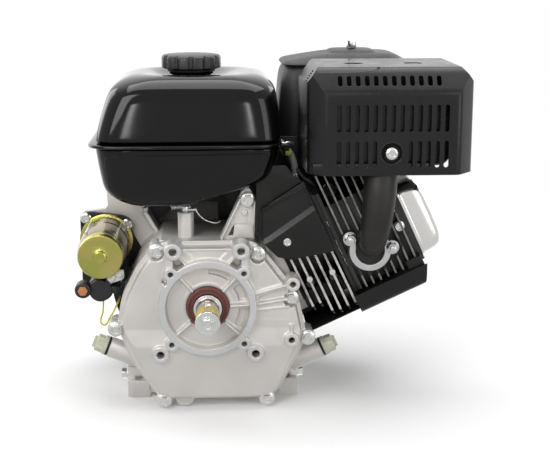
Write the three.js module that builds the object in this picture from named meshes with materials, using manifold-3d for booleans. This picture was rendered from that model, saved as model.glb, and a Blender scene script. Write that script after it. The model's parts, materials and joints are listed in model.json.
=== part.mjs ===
// A single-cylinder, air-cooled petrol engine with a sloping cylinder, overhead valves, a horizontal
// output shaft, a recoil starter and an electric starter.
// Millimetres. X runs right, Y runs from the output shaft to the recoil starter, Z runs up. Shapes are
// drawn from the crank axis, with Y = 0 in the plane of the four output-side mounting bosses. The whole
// engine is then moved along Y, so that its origin is the front face of the shaft's end bolt.
import * as THREE from 'three';
import { mergeVertices } from 'three/addons/utils/BufferGeometryUtils.js';
import Module from 'manifold-3d';

const wasm = await Module();
wasm.setup();

// ---------------------------------------------------------------- driving dimensions
const tilt = THREE.MathUtils.degToRad(25); // slope of the cylinder axis above horizontal
const clearance = 0.3; // gap between a moving or turned piece and its neighbour
const bore = 44; // cylinder bore radius
const throwRadius = 32; // half of the stroke
const rodLength = 110; // between the pin centres of the connecting rod
const cylinderY = 92; // place of the cylinder axis along the crank axis
const deck = 176; // top of the cylinder barrel, measured along the cylinder axis
const headTop = 268; // joint between head and valve cover, along the cylinder axis
const shaftRadius = 14.3; // output shaft
const shaftReach = 66; // from the mounting bosses forward to the front face of the end bolt
const journalRadius = 17.4; // main bearings
const bearingRadius = 36; // outside of both main bearings
const coverJoint = 34; // back of the crankcase cover
const caseFront = coverJoint + clearance; // front of the crankcase, behind the gasket gap
const rearFace = 146; // joint between crankcase and fan housing
const floorZ = -134; // underside of the mounting feet
const toothModule = 3;
const crankTeeth = 16;
const camTeeth = 32;
const pushrodOffset = -60; // pushrods and camshaft, measured across the cylinder axis
const valveSpread = 24; // each valve lies this far from the cylinder axis, along Y
const rockerPivot = [278, -30];
const starterAxis = [-131.4, 58.2];
const starterRadius = 28.4;
const housingRadius = 128;
const mountingCircle = 82.55; // radius of the bolt circle of the output-side bosses

// Outline of the crankcase and its cover, in X and Z.
const caseCorners = [
  [-60, -124], [74, -124], [90, -112], [118, -56], [123, -40], [112, 12], [72, 66], [56, 80],
  [-57, 80], [-84, 54], [-106, 10], [-112, -26], [-98, -70], [-68, -114],
];
const coverBolts = [[-62, 68], [62, 63], [103, 7], [124, -45], [73, -124], [-56, -124], [-114, -30]];
const mountingBosses = [120, 60, -135, -45].map((degrees) => {
  const angle = THREE.MathUtils.degToRad(degrees);
  return [mountingCircle * Math.cos(angle), mountingCircle * Math.sin(angle)];
});
const innerHoles = [[-44.4, 43.5], [44.4, 43.5], [-44.4, -45.5], [44.4, -45.5]];

const camDistance = toothModule * (crankTeeth + camTeeth) / 2;
const camAlong = Math.sqrt(camDistance ** 2 - pushrodOffset ** 2);
const camAxis = [
  camAlong * Math.cos(tilt) - pushrodOffset * Math.sin(tilt),
  camAlong * Math.sin(tilt) + pushrodOffset * Math.cos(tilt),
];
const pinHeight = throwRadius + rodLength; // piston pin at top dead centre, along the cylinder axis
const skirtLength = 22; // piston skirt below its pin
const skirtLowest = pinHeight - 2 * throwRadius - skirtLength; // at bottom dead centre

// ---------------------------------------------------------------- solids from geometries
function solid(geometry) {
  const bare = geometry.clone();
  bare.deleteAttribute('normal');
  bare.deleteAttribute('uv');
  const merged = mergeVertices(bare, 1e-4);
  const index = merged.index.array;
  const triangles = [];
  for (let i = 0; i < index.length; i += 3) {
    const [a, b, c] = [index[i], index[i + 1], index[i + 2]];
    if (a !== b && b !== c && c !== a) triangles.push(a, b, c);
  }
  const build = (corners) => new wasm.Manifold(new wasm.Mesh({
    numProp: 3,
    vertProperties: new Float32Array(merged.attributes.position.array),
    triVerts: new Uint32Array(corners),
  }));
  const shape = build(triangles);
  return shape.volume() > 0 ? shape : build(triangles.reverse());
}

function geometryOf(shape) {
  const mesh = shape.getMesh();
  const geometry = new THREE.BufferGeometry();
  geometry.setAttribute('position', new THREE.BufferAttribute(mesh.vertProperties, mesh.numProp));
  geometry.setIndex(new THREE.BufferAttribute(mesh.triVerts, 1));
  geometry.computeVertexNormals();
  return geometry;
}

const join = (...shapes) => shapes.reduce((sum, next) => sum.add(next));
const cut = (shape, ...tools) => tools.reduce((left, tool) => left.subtract(tool), shape);
const common = (...shapes) => shapes.reduce((sum, next) => sum.intersect(next));

function box([x0, x1], [y0, y1], [z0, z1]) {
  const geometry = new THREE.BoxGeometry(x1 - x0, y1 - y0, z1 - z0);
  return solid(geometry.translate((x0 + x1) / 2, (y0 + y1) / 2, (z0 + z1) / 2));
}

// A round bar, or a cone when the end radius differs, between two points.
function bar(start, end, radius, sides = 10, endRadius = radius) {
  const from = new THREE.Vector3(...start);
  const along = new THREE.Vector3(...end).sub(from);
  const geometry = new THREE.CylinderGeometry(endRadius, radius, along.length(), sides);
  const turn = new THREE.Quaternion().setFromUnitVectors(
    new THREE.Vector3(0, 1, 0), along.clone().normalize());
  geometry.applyQuaternion(turn);
  const middle = from.addScaledVector(along, 0.5);
  return solid(geometry.translate(middle.x, middle.y, middle.z));
}

const barY = ([x, z], [y0, y1], radius, sides, endRadius) => (
  bar([x, y0, z], [x, y1, z], radius, sides, endRadius));
const ringY = (centre, [y0, y1], inner, outer, sides) => cut(
  barY(centre, [y0, y1], outer, sides), barY(centre, [y0 - 1, y1 + 1], inner, sides));

// A polygon whose corners are rounded off.
function rounded(corners, radius) {
  const shape = new THREE.Shape();
  corners.forEach((corner, i) => {
    const here = new THREE.Vector2(...corner);
    const towards = (other) => {
      const step = new THREE.Vector2(...other).sub(here);
      return here.clone().add(step.setLength(Math.min(radius, step.length() * 0.42)));
    };
    const entry = towards(corners.at(i - 1));
    const exit = towards(corners[(i + 1) % corners.length]);
    if (i === 0) shape.moveTo(entry.x, entry.y);
    else shape.lineTo(entry.x, entry.y);
    shape.quadraticCurveTo(here.x, here.y, exit.x, exit.y);
  });
  return shape;
}

// A rectangle with its two corners nearest the viewer cut off.
const clipped = ([x0, x1], [y0, y1], size) => [
  [x0, y0 + size], [x0 + size, y0], [x1, y0], [x1, y1], [x0 + size, y1], [x0, y1 - size]];

const polygon = (corners) => new THREE.Shape(corners.map((corner) => new THREE.Vector2(...corner)));
const rectangle = ([x0, x1], [y0, y1]) => [[x0, y0], [x1, y0], [x1, y1], [x0, y1]];

// The same counter-clockwise polygon with every side moved inwards.
function inset(corners, distance) {
  return corners.map((corner, i) => {
    const here = new THREE.Vector2(...corner);
    const before = here.clone().sub(new THREE.Vector2(...corners.at(i - 1))).normalize();
    const after = new THREE.Vector2(...corners[(i + 1) % corners.length]).sub(here).normalize();
    const turn = before.cross(after);
    const slide = Math.abs(turn) < 1e-6
      ? new THREE.Vector2(-after.y, after.x)
      : after.clone().sub(before).divideScalar(turn);
    return [here.x + slide.x * distance, here.y + slide.y * distance];
  });
}

const facing = {
  x: new THREE.Matrix4().makeBasis(
    new THREE.Vector3(0, 1, 0), new THREE.Vector3(0, 0, 1), new THREE.Vector3(1, 0, 0)),
  y: new THREE.Matrix4().makeRotationX(Math.PI / 2),
  z: new THREE.Matrix4(),
};

// A flat outline given a thickness along one axis, with an optional bevel round both faces.
function plate(axis, shape, [low, high], { bevel = 0, segments = 1, bevelSegments = 2 } = {}) {
  const geometry = new THREE.ExtrudeGeometry(shape, {
    depth: high - low - 2 * bevel,
    curveSegments: segments,
    bevelEnabled: bevel > 0,
    bevelThickness: bevel,
    bevelSize: bevel,
    bevelOffset: -bevel,
    bevelSegments,
  });
  geometry.translate(0, 0, axis === 'y' ? bevel - high : low + bevel);
  return solid(geometry.applyMatrix4(facing[axis]));
}

// A bar along a curve.
function tube(points, radius, steps = 9, halfSides = 6) {
  const curve = new THREE.CatmullRomCurve3(points.map((point) => new THREE.Vector3(...point)));
  const circle = new THREE.Shape().absarc(0, 0, radius, 0, 2 * Math.PI);
  return solid(new THREE.ExtrudeGeometry(circle, {
    steps, extrudePath: curve, curveSegments: halfSides, bevelEnabled: false,
  }));
}

const hexagon = (centre, [y0, y1], radius) => barY(centre, [y0, y1], radius, 6);

// A hexagon-headed bolt along Y, head towards the viewer, with a flat washer face.
function boltY(centre, headFront, seat, end, headRadius, shankRadius) {
  return join(
    hexagon(centre, [headFront, seat - 1], headRadius),
    barY(centre, [seat - 1.2, seat], headRadius + 1),
    barY(centre, [seat - 1, end], shankRadius, 12));
}

// A toothed outline: straight-sided teeth a little thinner than the gap they run in.
function gearOutline(teeth) {
  const pitchRadius = toothModule * teeth / 2;
  const step = 2 * Math.PI / teeth;
  const root = { radius: pitchRadius - 2.6, half: 0.29 * step };
  const tip = { radius: pitchRadius + 1.8, half: 0.13 * step };
  const corners = [];
  for (let i = 0; i < teeth; i += 1) {
    for (const [end, side] of [[root, -1], [tip, -1], [tip, 1], [root, 1]]) {
      const angle = i * step + side * end.half;
      corners.push([end.radius * Math.cos(angle), end.radius * Math.sin(angle)]);
    }
  }
  return corners;
}

function turned(corners, angle) {
  return corners.map(([x, y]) => [
    x * Math.cos(angle) - y * Math.sin(angle), x * Math.sin(angle) + y * Math.cos(angle)]);
}

// ---------------------------------------------------------------- finishes
const finishes = {
  castAluminium: { color: 0xcdc8c1, roughness: 0.55, metalness: 0.75 },
  machinedSteel: { color: 0xc9c9c6, roughness: 0.3, metalness: 0.95 },
  zincPlate: { color: 0xdadcd8, roughness: 0.25, metalness: 0.95 },
  yellowZinc: { color: 0xb5a64a, roughness: 0.35, metalness: 0.85 },
  chrome: { color: 0xe6e4dd, roughness: 0.1, metalness: 1 },
  castIron: { color: 0x6c6a66, roughness: 0.7, metalness: 0.6 },
  blackCasting: { color: 0x1b1a18, roughness: 0.5, metalness: 0.4 },
  glossBlack: { color: 0x0a0a0a, roughness: 0.08, metalness: 0.2 },
  satinBlack: { color: 0x1d1c1c, roughness: 0.45, metalness: 0.3 },
  greyPlastic: { color: 0x2b2b2c, roughness: 0.6, metalness: 0 },
  blackPlastic: { color: 0x151515, roughness: 0.5, metalness: 0 },
  creamPlastic: { color: 0xe2e1cc, roughness: 0.45, metalness: 0 },
  rubber: { color: 0x7a3a33, roughness: 0.8, metalness: 0 },
  foam: { color: 0x3c3c3a, roughness: 0.95, metalness: 0 },
};

const engine = new THREE.Group();
engine.position.y = shaftReach;
// Everything built square to the cylinder: here X runs along the cylinder axis, away from the crank.
const cylinderGroup = new THREE.Group();
cylinderGroup.rotation.y = -tilt;
engine.add(cylinderGroup);

function addPiece(group, name, shape, finish, position = [0, 0, 0]) {
  const mesh = new THREE.Mesh(geometryOf(shape), new THREE.MeshStandardMaterial(finishes[finish]));
  mesh.name = name;
  mesh.position.set(...position);
  group.add(mesh);
}

// A shape drawn square to the cylinder, turned into the engine's own axes.
function sloped(shape) {
  const geometry = geometryOf(shape);
  return solid(geometry.applyMatrix4(new THREE.Matrix4().makeRotationY(-tilt)));
}

// ---------------------------------------------------------------- crankcase and cover
const boltBosses = ([y0, y1]) => join(...coverBolts.map((bolt) => barY(bolt, [y0, y1], 10)));

function crankcase() {
  const shell = join(
    plate('y', polygon(inset(caseCorners, 0.8)), [caseFront, rearFace]),
    boltBosses([caseFront, 52]),
    barY([-30, -123], [caseFront, 44], 10),
    feet(),
    rearWing(),
    tankBracket(),
    bar([-26, 54, 70], [-26, 54, 110], 10, 16),
    bar([-88, 64, -82], [-126, 64, -66.4], 13, 16),
    bar([105, 58, -88], [143.8, 58, -70.3], 13, 16));
  const hollow = cut(
    shell,
    plate('y', polygon(inset(caseCorners, 7)), [coverJoint - 1, 128]),
    barY([0, 0], [127, 144.3], bearingRadius + 0.05, 20),
    barY([0, 0], [140, rearFace + 1], 20),
    bar([-86, 64, -82.8], [-127, 64, -66], 9),
    bar([104, 58, -88.5], [145, 58, -69.8], 9),
    bar([-110, 81, -109], [-93, 81, -109], 5 + clearance),
    bar([103, 81, -109], [120, 81, -109], 5 + clearance),
    sloped(cylinderBore()));
  return join(
    hollow,
    cut(
      sloped(cut(barrel(), cylinderBore())),
      plate('y', polygon(inset(caseCorners, -1.5)), [20, caseFront]),
      ...coverBolts.slice(2, 4).map((bolt) => barY(bolt, [20, caseFront], 11.5)),
      barY([104.5, 27.7], [20, caseFront], 10.5)),
    cut(
      barY(camAxis, [123, 129], 13),
      barY(camAxis, [122, 130], 8 + clearance, 20)));
}

const cylinderBore = () => join(
  bar([skirtLowest - 2, cylinderY, 0], [deck + 1, cylinderY, 0], bore, 24),
  ...valvePlaces((y) => bar([84, y, pushrodOffset], [deck + 1, y, pushrodOffset], 5.5, 10)));

function valvePlaces(make) {
  return [cylinderY - valveSpread, cylinderY + valveSpread].map(make);
}

// The finned barrel, with the deck flange and the pushrod tunnel, square to the cylinder.
function barrel() {
  const fins = [[115, -70], [125, -70], [134.5, -85], [144.5, -88], [155, -88], [165, -88]];
  const finThickness = 2.8;
  return join(
    bar([84, cylinderY, 0], [deck, cylinderY, 0], 50, 16),
    box([100, deck], [56, 128], [-68, -48]),
    box([96, 112], [40, 140], [-52, 66]),
    box([170, deck], [30, 147], [-68, 66]),
    ...fins.map(([along, low]) => plate(
      'x', polygon(clipped([25, 147], [low, 88], 9)), [along, along + finThickness])),
    barY([125.5, -33], [26, 44], 5, 12),
    barY([155, -37], [26, 44], 5, 12));
}

// Two foot rails joined by the floor of the case, with a boss for each drain bolt.
function feet() {
  const rails = [[-104, -76], [86, 114]];
  const rail = (x) => plate('z', polygon(clipped(x, [58, 182], 5)), [floorZ, -112]);
  const slot = (x) => bar([x, 0, floorZ - 1], [x, 0, -110], 5.5, 8);
  const holes = rails.flatMap(([x0, x1]) => [68, 173].map((y) => (
    slot((x0 + x1) / 2).translate([0, y, 0]))));
  return cut(
    join(
      ...rails.map(rail),
      box([-90, 100], [60, rearFace], [-128, -114]),
      box([-104, -66], [70, 92], [-120, -98]),
      box([84, 114], [70, 92], [-120, -98])),
    ...holes);
}

// The wing that carries the starter and closes the front of the fan housing.
function rearWing() {
  const wing = [
    [-130, 125], [-129, 98], [-163, 94], [-163, 8], [-106, -4], [-60, 0], [-60, 58], [-84, 96],
    [-90, 125],
  ];
  const edge = [[-84, 96], [-60, 58], [-53, 58], [-77, 98]];
  return cut(
    join(
      plate('y', rounded(wing, 4), [138, rearFace]),
      plate('y', polygon(edge), [112, rearFace])),
    barY(starterAxis, [137, rearFace + 1], 24));
}

function tankBracket() {
  const arm = [[14, 76], [57, 76], [58.5, 132], [54.5, 144], [45.5, 144]];
  const window = [[26, 84], [33.5, 84], [33.5, 98]];
  return cut(
    plate('y', rounded(arm, 5), [caseFront, 46]),
    plate('y', polygon(window), [coverJoint - 1, 47]),
    barY([50.5, 129], [coverJoint - 1, 47], 4.3, 12));
}

function crankcaseCover() {
  const recessFloor = 10;
  const pocketFloor = 14;
  const cavity = 18;
  const flange = join(
    plate('y', rounded(caseCorners, 10), [22, coverJoint], { segments: 2 }),
    boltBosses([20, coverJoint]),
    plate('y', rounded([[-44, -112], [-16, -112], [-20, -133], [-40, -133]], 9), [24, coverJoint]));
  const body = cut(
    plate('y', rounded(inset(caseCorners, 5), 6), [6, coverJoint],
      { bevel: 7, segments: 3, bevelSegments: 1 }),
    ...coverPockets(pocketFloor));
  const mounting = join(
    barY([0, 0], [0, cavity], 60, 28),
    ...mountingBosses.map((boss) => barY(boss, [0, 24], 10.5)),
    ...innerHoles.map((hole) => barY(hole, [0, 20], 9)),
    ...mountingBosses.slice(0, 2).map(([x, z]) => box(
      x < 0 ? [x - 10.5, x] : [x, x + 10.5], [2, 20], [z - 26, z])),
    ...coverRibs());
  const bosses = join(
    barY([0, 0], [cavity - 2, 33], 44, 16),
    barY(camAxis, [cavity - 2, 35], 13),
    barY([104.5, 27.7], [12, 30], 9),
    barY([103, -42.7], [4, 30], 9));
  return cut(
    join(flange, body, mounting)
      .subtract(plate('y', polygon(inset(caseCorners, 14)), [cavity, coverJoint + 1]))
      .subtract(ringY([0, 0], [-1, recessFloor], 30, 52.3, 28))
      .add(recessRibs(recessFloor))
      .add(bosses),
    barY([0, 0], [-1, 2], 31, 16),
    barY([0, 0], [-1, 12], 26 + 0.05, 20),
    barY([0, 0], [11, 17], 19.5),
    barY([0, 0], [16, coverJoint + 2], bearingRadius + 0.05, 20),
    barY(camAxis, [22, coverJoint + 2], 8 + clearance, 20),
    arcSlot(44, 6, 52, 88, recessFloor + 3),
    arcSlot(43.5, 10, -36, 36, recessFloor + 3),
    ...mountingBosses.map((boss) => barY(boss, [-1, 17], 5, 10)),
    ...innerHoles.map((hole) => barY(hole, [-1, 14], 4, 8)),
    barY([-52, 33], [-1, 12], 3.2, 12),
    barY([104.5, 27.7], [11, 24], 4, 12),
    barY([103, -42.7], [3, 22], 4, 12));
}

// The sunk fields beside and between the upper mounting bosses.
function coverPockets(pocketFloor) {
  const fields = [
    [[-26, 70], [-12, 50], [12, 50], [26, 70]],
    [[-46, 62], [-46, 40], [-22, 50], [-31, 66]],
    [[46, 62], [31, 66], [22, 50], [46, 40]],
    [[66, 70], [62, 10], [66, -14], [130, -14], [130, 30], [84, 70]],
  ];
  return fields.map((field) => plate('y', rounded(field, 4), [0, pocketFloor]));
}

// Ribs from the mounting ring to the case bolts on the right, and down from the upper bosses.
function coverRibs() {
  const ribs = [
    [[57, 16], [104, 28]], [[59, -1], [103, 7]], [[-32, 66], [-22, 52]], [[32, 66], [22, 52]],
  ];
  return ribs.map(([start, end]) => ribY(start, end, 2, [6, 22]));
}

function ribY([x0, z0], [x1, z1], halfWidth, depth) {
  const along = new THREE.Vector2(x1 - x0, z1 - z0).normalize();
  const [sideX, sideZ] = [-along.y * halfWidth, along.x * halfWidth];
  return plate('y', polygon([
    [x0 - sideX, z0 - sideZ], [x1 - sideX, z1 - sideZ], [x1 + sideX, z1 + sideZ],
    [x0 + sideX, z0 + sideZ]]), depth);
}

function recessRibs(recessFloor) {
  return join(...[131, 47, 3, -42, -138].map((degrees) => {
    const angle = THREE.MathUtils.degToRad(degrees);
    const at = (radius) => [radius * Math.cos(angle), radius * Math.sin(angle)];
    return ribY(at(28), at(55), 1.8, [5, recessFloor + 2]);
  }));
}

// A curved groove round the crank axis, sunk from the front to the given depth.
function arcSlot(radius, width, fromDegrees, toDegrees, depth) {
  const from = THREE.MathUtils.degToRad(fromDegrees);
  const to = THREE.MathUtils.degToRad(toDegrees);
  const shape = new THREE.Shape();
  shape.absarc(0, 0, radius + width / 2, from, to, false);
  shape.absarc(0, 0, radius - width / 2, to, from, true);
  shape.closePath();
  return plate('y', shape, [-1, depth], { segments: 4 });
}

const mainBearing = (depth) => ringY([0, 0], depth, journalRadius + clearance, bearingRadius, 20);

function oilSeal() {
  return cut(
    ringY([0, 0], [3, 11], journalRadius + clearance, 26, 20),
    ringY([0, 0], [2, 4.5], 19.5, 23.5, 20));
}

// ---------------------------------------------------------------- crank train, square to the cylinder
// One web: the crankpin seat on one side of the axis and the counterweight on the other.
function web(depth) {
  const shape = new THREE.Shape();
  const weight = THREE.MathUtils.degToRad(118);
  shape.absarc(throwRadius, 0, 16, -1.4, 1.4, false);
  shape.absarc(0, 0, 48, weight, 2 * Math.PI - weight, false);
  shape.closePath();
  return plate('y', shape, depth, { segments: 5 });
}

function crankshaftPtoHalf() {
  const crankMesh = Math.atan2(pushrodOffset, camAlong) + Math.PI / crankTeeth;
  const keyAngle = Math.PI / 2 - tilt;
  const keyway = turned(rectangle([shaftRadius - 3.5, shaftRadius + 2], [-3.15, 3.15]), keyAngle);
  return cut(
    join(
      barY([0, 0], [-55, 0], shaftRadius, 24),
      barY([0, 0], [-57, -55], shaftRadius - 1.5, 24, shaftRadius),
      barY([0, 0], [0, 36], journalRadius, 24),
      plate('y', polygon(turned(gearOutline(crankTeeth), crankMesh)), [38, 50]),
      barY([0, 0], [36, 62], 20),
      web([62, 78])),
    plate('y', polygon(keyway), [-50, -14]),
    barY([0, 0], [-58, -30], 5 + clearance, 12));
}

function crankshaftFlywheelHalf() {
  return join(
    web([106, 122]),
    barY([0, 0], [122, 150], journalRadius, 20),
    barY([0, 0], [150, 190], journalRadius, 20, 12),
    barY([0, 0], [190, 212], 9));
}

function shaftEndBolt() {
  return join(
    hexagon([0, 0], [-shaftReach, -60], 9),
    barY([0, 0], [-60.2, -57 - clearance], 15, 32),
    barY([0, 0], [-58, -34], 5, 12));
}

function connectingRod() {
  const shank = [[48, -10], [130, -7.5], [130, 7.5], [48, 10]];
  return cut(
    join(
      barY([pinHeight, 0], [80, 104], 14),
      barY([throwRadius, 0], [80, 104], 19.5, 32),
      plate('y', polygon(shank), [86, 98])),
    barY([pinHeight, 0], [79, 105], 10.1, 20),
    barY([throwRadius, 0], [79, 105], 15 + clearance, 32));
}

function piston() {
  const skirt = pinHeight - skirtLength;
  const crown = pinHeight + 27;
  return cut(
    join(
      cut(
        bar([skirt, cylinderY, 0], [crown, cylinderY, 0], bore - clearance, 24),
        bar([skirt - 1, cylinderY, 0], [crown - 8, cylinderY, 0], 38)),
      common(
        bar([skirt, cylinderY, 0], [crown, cylinderY, 0], bore - 1, 24),
        join(
          box([pinHeight - 13, crown - 6], [50, 77], [-14, 14]),
          box([pinHeight - 13, crown - 6], [107, 134], [-14, 14])))),
    barY([pinHeight, 0], [40, 144], 10, 20));
}

const pistonPin = () => barY([pinHeight, 0], [cylinderY - 40, cylinderY + 40], 9.7, 20);
const crankpin = () => barY([throwRadius, 0], [78 + clearance, 106 - clearance], 15, 32);

// ---------------------------------------------------------------- valve train
// A cam about its own axis, with the lobe pointing away from the pushrods.
function lobe(depth, angle) {
  const shape = new THREE.Shape();
  shape.absarc(0, 0, 11.5, Math.PI / 2, -Math.PI / 2, false);
  shape.absarc(11.5, 0, 6, -Math.PI / 3, Math.PI / 3, false);
  shape.closePath();
  const corners = shape.extractPoints(5).shape.map((point) => [point.x, point.y]);
  return plate('y', polygon(turned(corners, angle)), depth);
}

function camshaft() {
  const meshAngle = Math.atan2(-camAxis[1], -camAxis[0]);
  return join(
    barY([0, 0], [22.5, 139.5 - 12], 8),
    plate('y', polygon(turned(gearOutline(camTeeth), meshAngle)), [38, 50]),
    lobe([62, 74], Math.PI + tilt - 0.9),
    lobe([110, 122], Math.PI + tilt + 0.9));
}

function cylinderHead() {
  const finTop = (along) => Math.min(88, (160 - along * Math.sin(tilt)) / Math.cos(tilt));
  const base = deck + clearance;
  const fins = [186, 196, 206, 216, 226, 236, 246, 256].map((along) => plate(
    'x', polygon(rectangle([25, 150], [-67, finTop(along)])), [along, along + 2.4]));
  const plug = sparkPlugAxis();
  return cut(
    join(
      box([base, headTop - 9], [36, 148], [-66, 45]),
      box([headTop - 12, headTop], [38, 146], [-69, 31]),
      box([base, base + 5], [27, 150], [-67, 66]),
      ...fins,
      barY([206, -27], [27, 40], 25, 20),
      barY([193.3, -1.9], [27, 40], 8),
      barY([235.8, -33.8], [27, 40], 8),
      box([188, 224], [146, 152], [-18, 18])),
    bar([base - 1, cylinderY, 0], [base + 9.5, cylinderY, 0], 43, 20),
    bar([base, 68, 0], [206, 68, 0], 14),
    bar([base, 116, 0], [206, 116, 0], 16, 8),
    bar([202, 70, 0], [206, 26, -27], 14),
    bar([203, 112, 0], [206, 153, 0], 14),
    ...valvePlaces((y) => join(
      bar([190, y, 0], [headTop, y, 0], 3 + clearance, 12),
      bar([base - 1, y, pushrodOffset], [headTop, y, pushrodOffset], 5.5, 12))),
    box([headTop - 11, headTop + 1], [42, 142], [-66, 27]),
    bar(plug(-2), plug(45), 7 + clearance, 16),
    bar(plug(35), plug(100), 13),
    bar(plug(71), [plug(71)[0], 152, plug(71)[2]], 9, 8),
    barY([206, -27], [20, 27.1], 31, 16),
    barY([193.3, -1.9], [20, 27.1], 12, 8),
    barY([235.8, -33.8], [20, 27.1], 14, 8),
    box([198, 262], [20, 30.5], [3, 95]),
    barY([193.3, -1.9], [26, 41], 4 + clearance, 12),
    barY([235.8, -33.8], [26, 41], 4 + clearance, 12),
  ).add(join(
    box([headTop - 12, rockerPivot[0] + 5], [86, 98], [rockerPivot[1] - 5, rockerPivot[1] + 5]),
    barY(rockerPivot, [58, 126], 4, 16)));
}

// Points along the spark plug: zero is in the combustion chamber.
function sparkPlugAxis() {
  const lean = THREE.MathUtils.degToRad(20);
  return (distance) => [
    184 + distance * Math.sin(lean), cylinderY, 10 + distance * Math.cos(lean)];
}

function sparkPlug() {
  const at = sparkPlugAxis();
  return join(
    bar(at(0), at(36), 7, 16),
    bar(at(35.4), at(38), 10.5, 24),
    bar(at(38), at(48), 10.4, 6),
    bar(at(48), at(66), 5.5, 16));
}

function plugCap() {
  const at = sparkPlugAxis();
  const end = at(71);
  return cut(
    join(
      bar(at(52), at(74), 9, 20),
      bar(end, [end[0], end[1] + 34, end[2]], 7, 20)),
    bar(at(51), at(67), 5.5 + clearance, 16));
}

function valve(y, headRadius) {
  const seat = deck + 6.6;
  return join(
    bar([seat, y, 0], [seat + 2.5, y, 0], headRadius, 16),
    bar([seat + 2.5, y, 0], [seat + 9, y, 0], headRadius * 0.7, 16, 3),
    bar([seat + 2.5, y, 0], [rockerPivot[0] - 5.8, y, 0], 3),
    bar([headTop - 2, y, 0], [headTop + 1, y, 0], 10, 12));
}

function pushrod(y) {
  return join(
    bar([57.8, y, pushrodOffset], [62, y, pushrodOffset], 9, 20),
    bar([60, y, pushrodOffset], [rockerPivot[0] - 5.8, y, pushrodOffset], 2.5, 12));
}

function rocker(y) {
  const [along, across] = rockerPivot;
  const low = along - 5 + clearance;
  const arm = [
    [low, across - 31.5], [along, across - 31.5], [along + 8, across], [along, across + 33],
    [low, across + 33], [low - 2, across],
  ];
  return cut(
    plate('y', rounded(arm, 3), [y - 6, y + 6]),
    barY(rockerPivot, [y - 7, y + 7], 4 + clearance, 16));
}

function valveCover() {
  const outline = rectangle([38, 146], [-69, 31]);
  const low = headTop + clearance;
  const dome = (distance, bevel, top) => plate(
    'x', rounded(inset(outline, distance), 18 - distance), [low - bevel - 2, top],
    { bevel, segments: 3, bevelSegments: 2 });
  const lip = plate('x', rounded(outline, 18), [low, low + 3], { segments: 4 });
  const below = box([200, low], [0, 200], [-100, 100]);
  return cut(dome(1.5, 12, 301), below).add(lip).subtract(dome(4, 10, 298.5));
}

// ---------------------------------------------------------------- cylinder cowls
function sideShroud() {
  const face = [[66, 76], [84, 61], [102, 56], [156, 67], [119, 147], [65, 120]];
  const lip = [[65, 120], [119, 147], [118.2, 148.6], [64.2, 121.6]];
  return join(
    plate('y', rounded(face, 3), [16, 17.5]),
    plate('y', polygon(lip), [16, 24]),
    barY([98, 79], [12.5, 16.2], 5, 16),
    barY([98, 79], [17, 24], 4, 12));
}

function headShroud() {
  return cut(
    box([168.3, 265], [17, 145.5], [-91, -70]),
    box([160, 263], [18.5, 144], [-89.5, -60]));
}

// ---------------------------------------------------------------- exhaust
const exhaustPath = [
  [201, 25, 65], [201, 19, 65.3], [202, 8.5, 75], [205, 5.5, 98], [209, 7, 138], [211, 14, 166],
  [211, 14.3, 175.3],
];
const exhaustNuts = { left: [176, 80], right: [228, 69] };

function exhaustPipe() {
  return cut(tube(exhaustPath, 17.5), tube([
    [201, 30, 65], ...exhaustPath, [211, 14.5, 182]], 15.8));
}

function exhaustFlange() {
  const thickness = [21.5, 26.5];
  return cut(
    join(
      barY([201, 65], thickness, 27, 32),
      barY(exhaustNuts.left, thickness, 9),
      barY(exhaustNuts.right, thickness, 9)),
    barY([201, 65], [20, 28], 18.4, 32),
    box([183.5, 219.5], [20, 28], [65, 95]),
    barY(exhaustNuts.left, [20, 28], 4.3, 12),
    barY(exhaustNuts.right, [20, 28], 4.3, 12));
}

const exhaustNut = (centre) => join(
  hexagon(centre, [14.5, 21.2], 7.5), barY(centre, [11, 38], 4, 12));

function mufflerBody() {
  const inlet = exhaustPath.at(-1);
  return cut(
    join(
      plate('y', rounded(rectangle([142, 294], [176.5, 282]), 16), [-3, 106],
        { bevel: 5, bevelSegments: 1 }),
      barY([219.8, 191.2], [-7.8, 4], 9, 16),
      bar([294, 84, 200], [302, 84, 200], 12)),
    plate('y', rounded(rectangle([144.5, 291.5], [179, 279.5]), 14), [-0.5, 103.5],
      { bevel: 4, bevelSegments: 1 }),
    bar([inlet[0], inlet[1], 170], [inlet[0], inlet[1], 190], 14),
    bar([280, 84, 200], [304, 84, 200], 9.5),
    barY([219.8, 191.2], [-9, 9], 3.8, 12));
}

// The heat guard: one sheet with sloping shoulders, open below and behind.
function mufflerCover() {
  const guard = (skin) => common(
    plate('x', polygon(inset([
      [130, 160], [130, 293], [12, 291], [-10, 263], [-10, 160]].reverse(), skin)), [100, 340]),
    plate('z', rounded(inset([
      [118, 130], [121, 10], [140, -10], [301, -10], [321, 14], [322, 130]], skin), 5), [150, 300]),
    plate('y', rounded(inset([
      [117, 150], [322, 150], [322, 272], [303, 293], [134, 293], [117, 268]], skin), 3), [-20, 140]));
  return cut(
    guard(0),
    guard(1.4),
    box([100, 340], [-20, 140], [140, 164.7]),
    box([100, 340], [120, 140], [140, 300]),
    ...louvres(),
    barY([219.8, 191.2], [-12, -7], 4, 12));
}

function louvres() {
  const pitch = 10.66;
  const half = 2.75;
  const slot = (x, height) => box([x - half, x + half], [-12, -7], height);
  const middle = Array.from({ length: 13 }, (_, i) => slot(157 + i * pitch, [216.5, 249]));
  const lower = Array.from({ length: 13 }, (_, i) => i)
    .filter((i) => i < 4 || i > 7)
    .map((i) => slot(157 + i * pitch, [174, 206]));
  const slope = Math.atan2(28, 22);
  const onSlope = Array.from({ length: 12 }, (_, i) => {
    const geometry = new THREE.BoxGeometry(2 * half, 6, 14);
    geometry.rotateX(slope - Math.PI / 2).translate(158.4 + i * pitch, 0.2, 275.2);
    return solid(geometry);
  });
  return [...middle, ...lower, ...onSlope];
}

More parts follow.
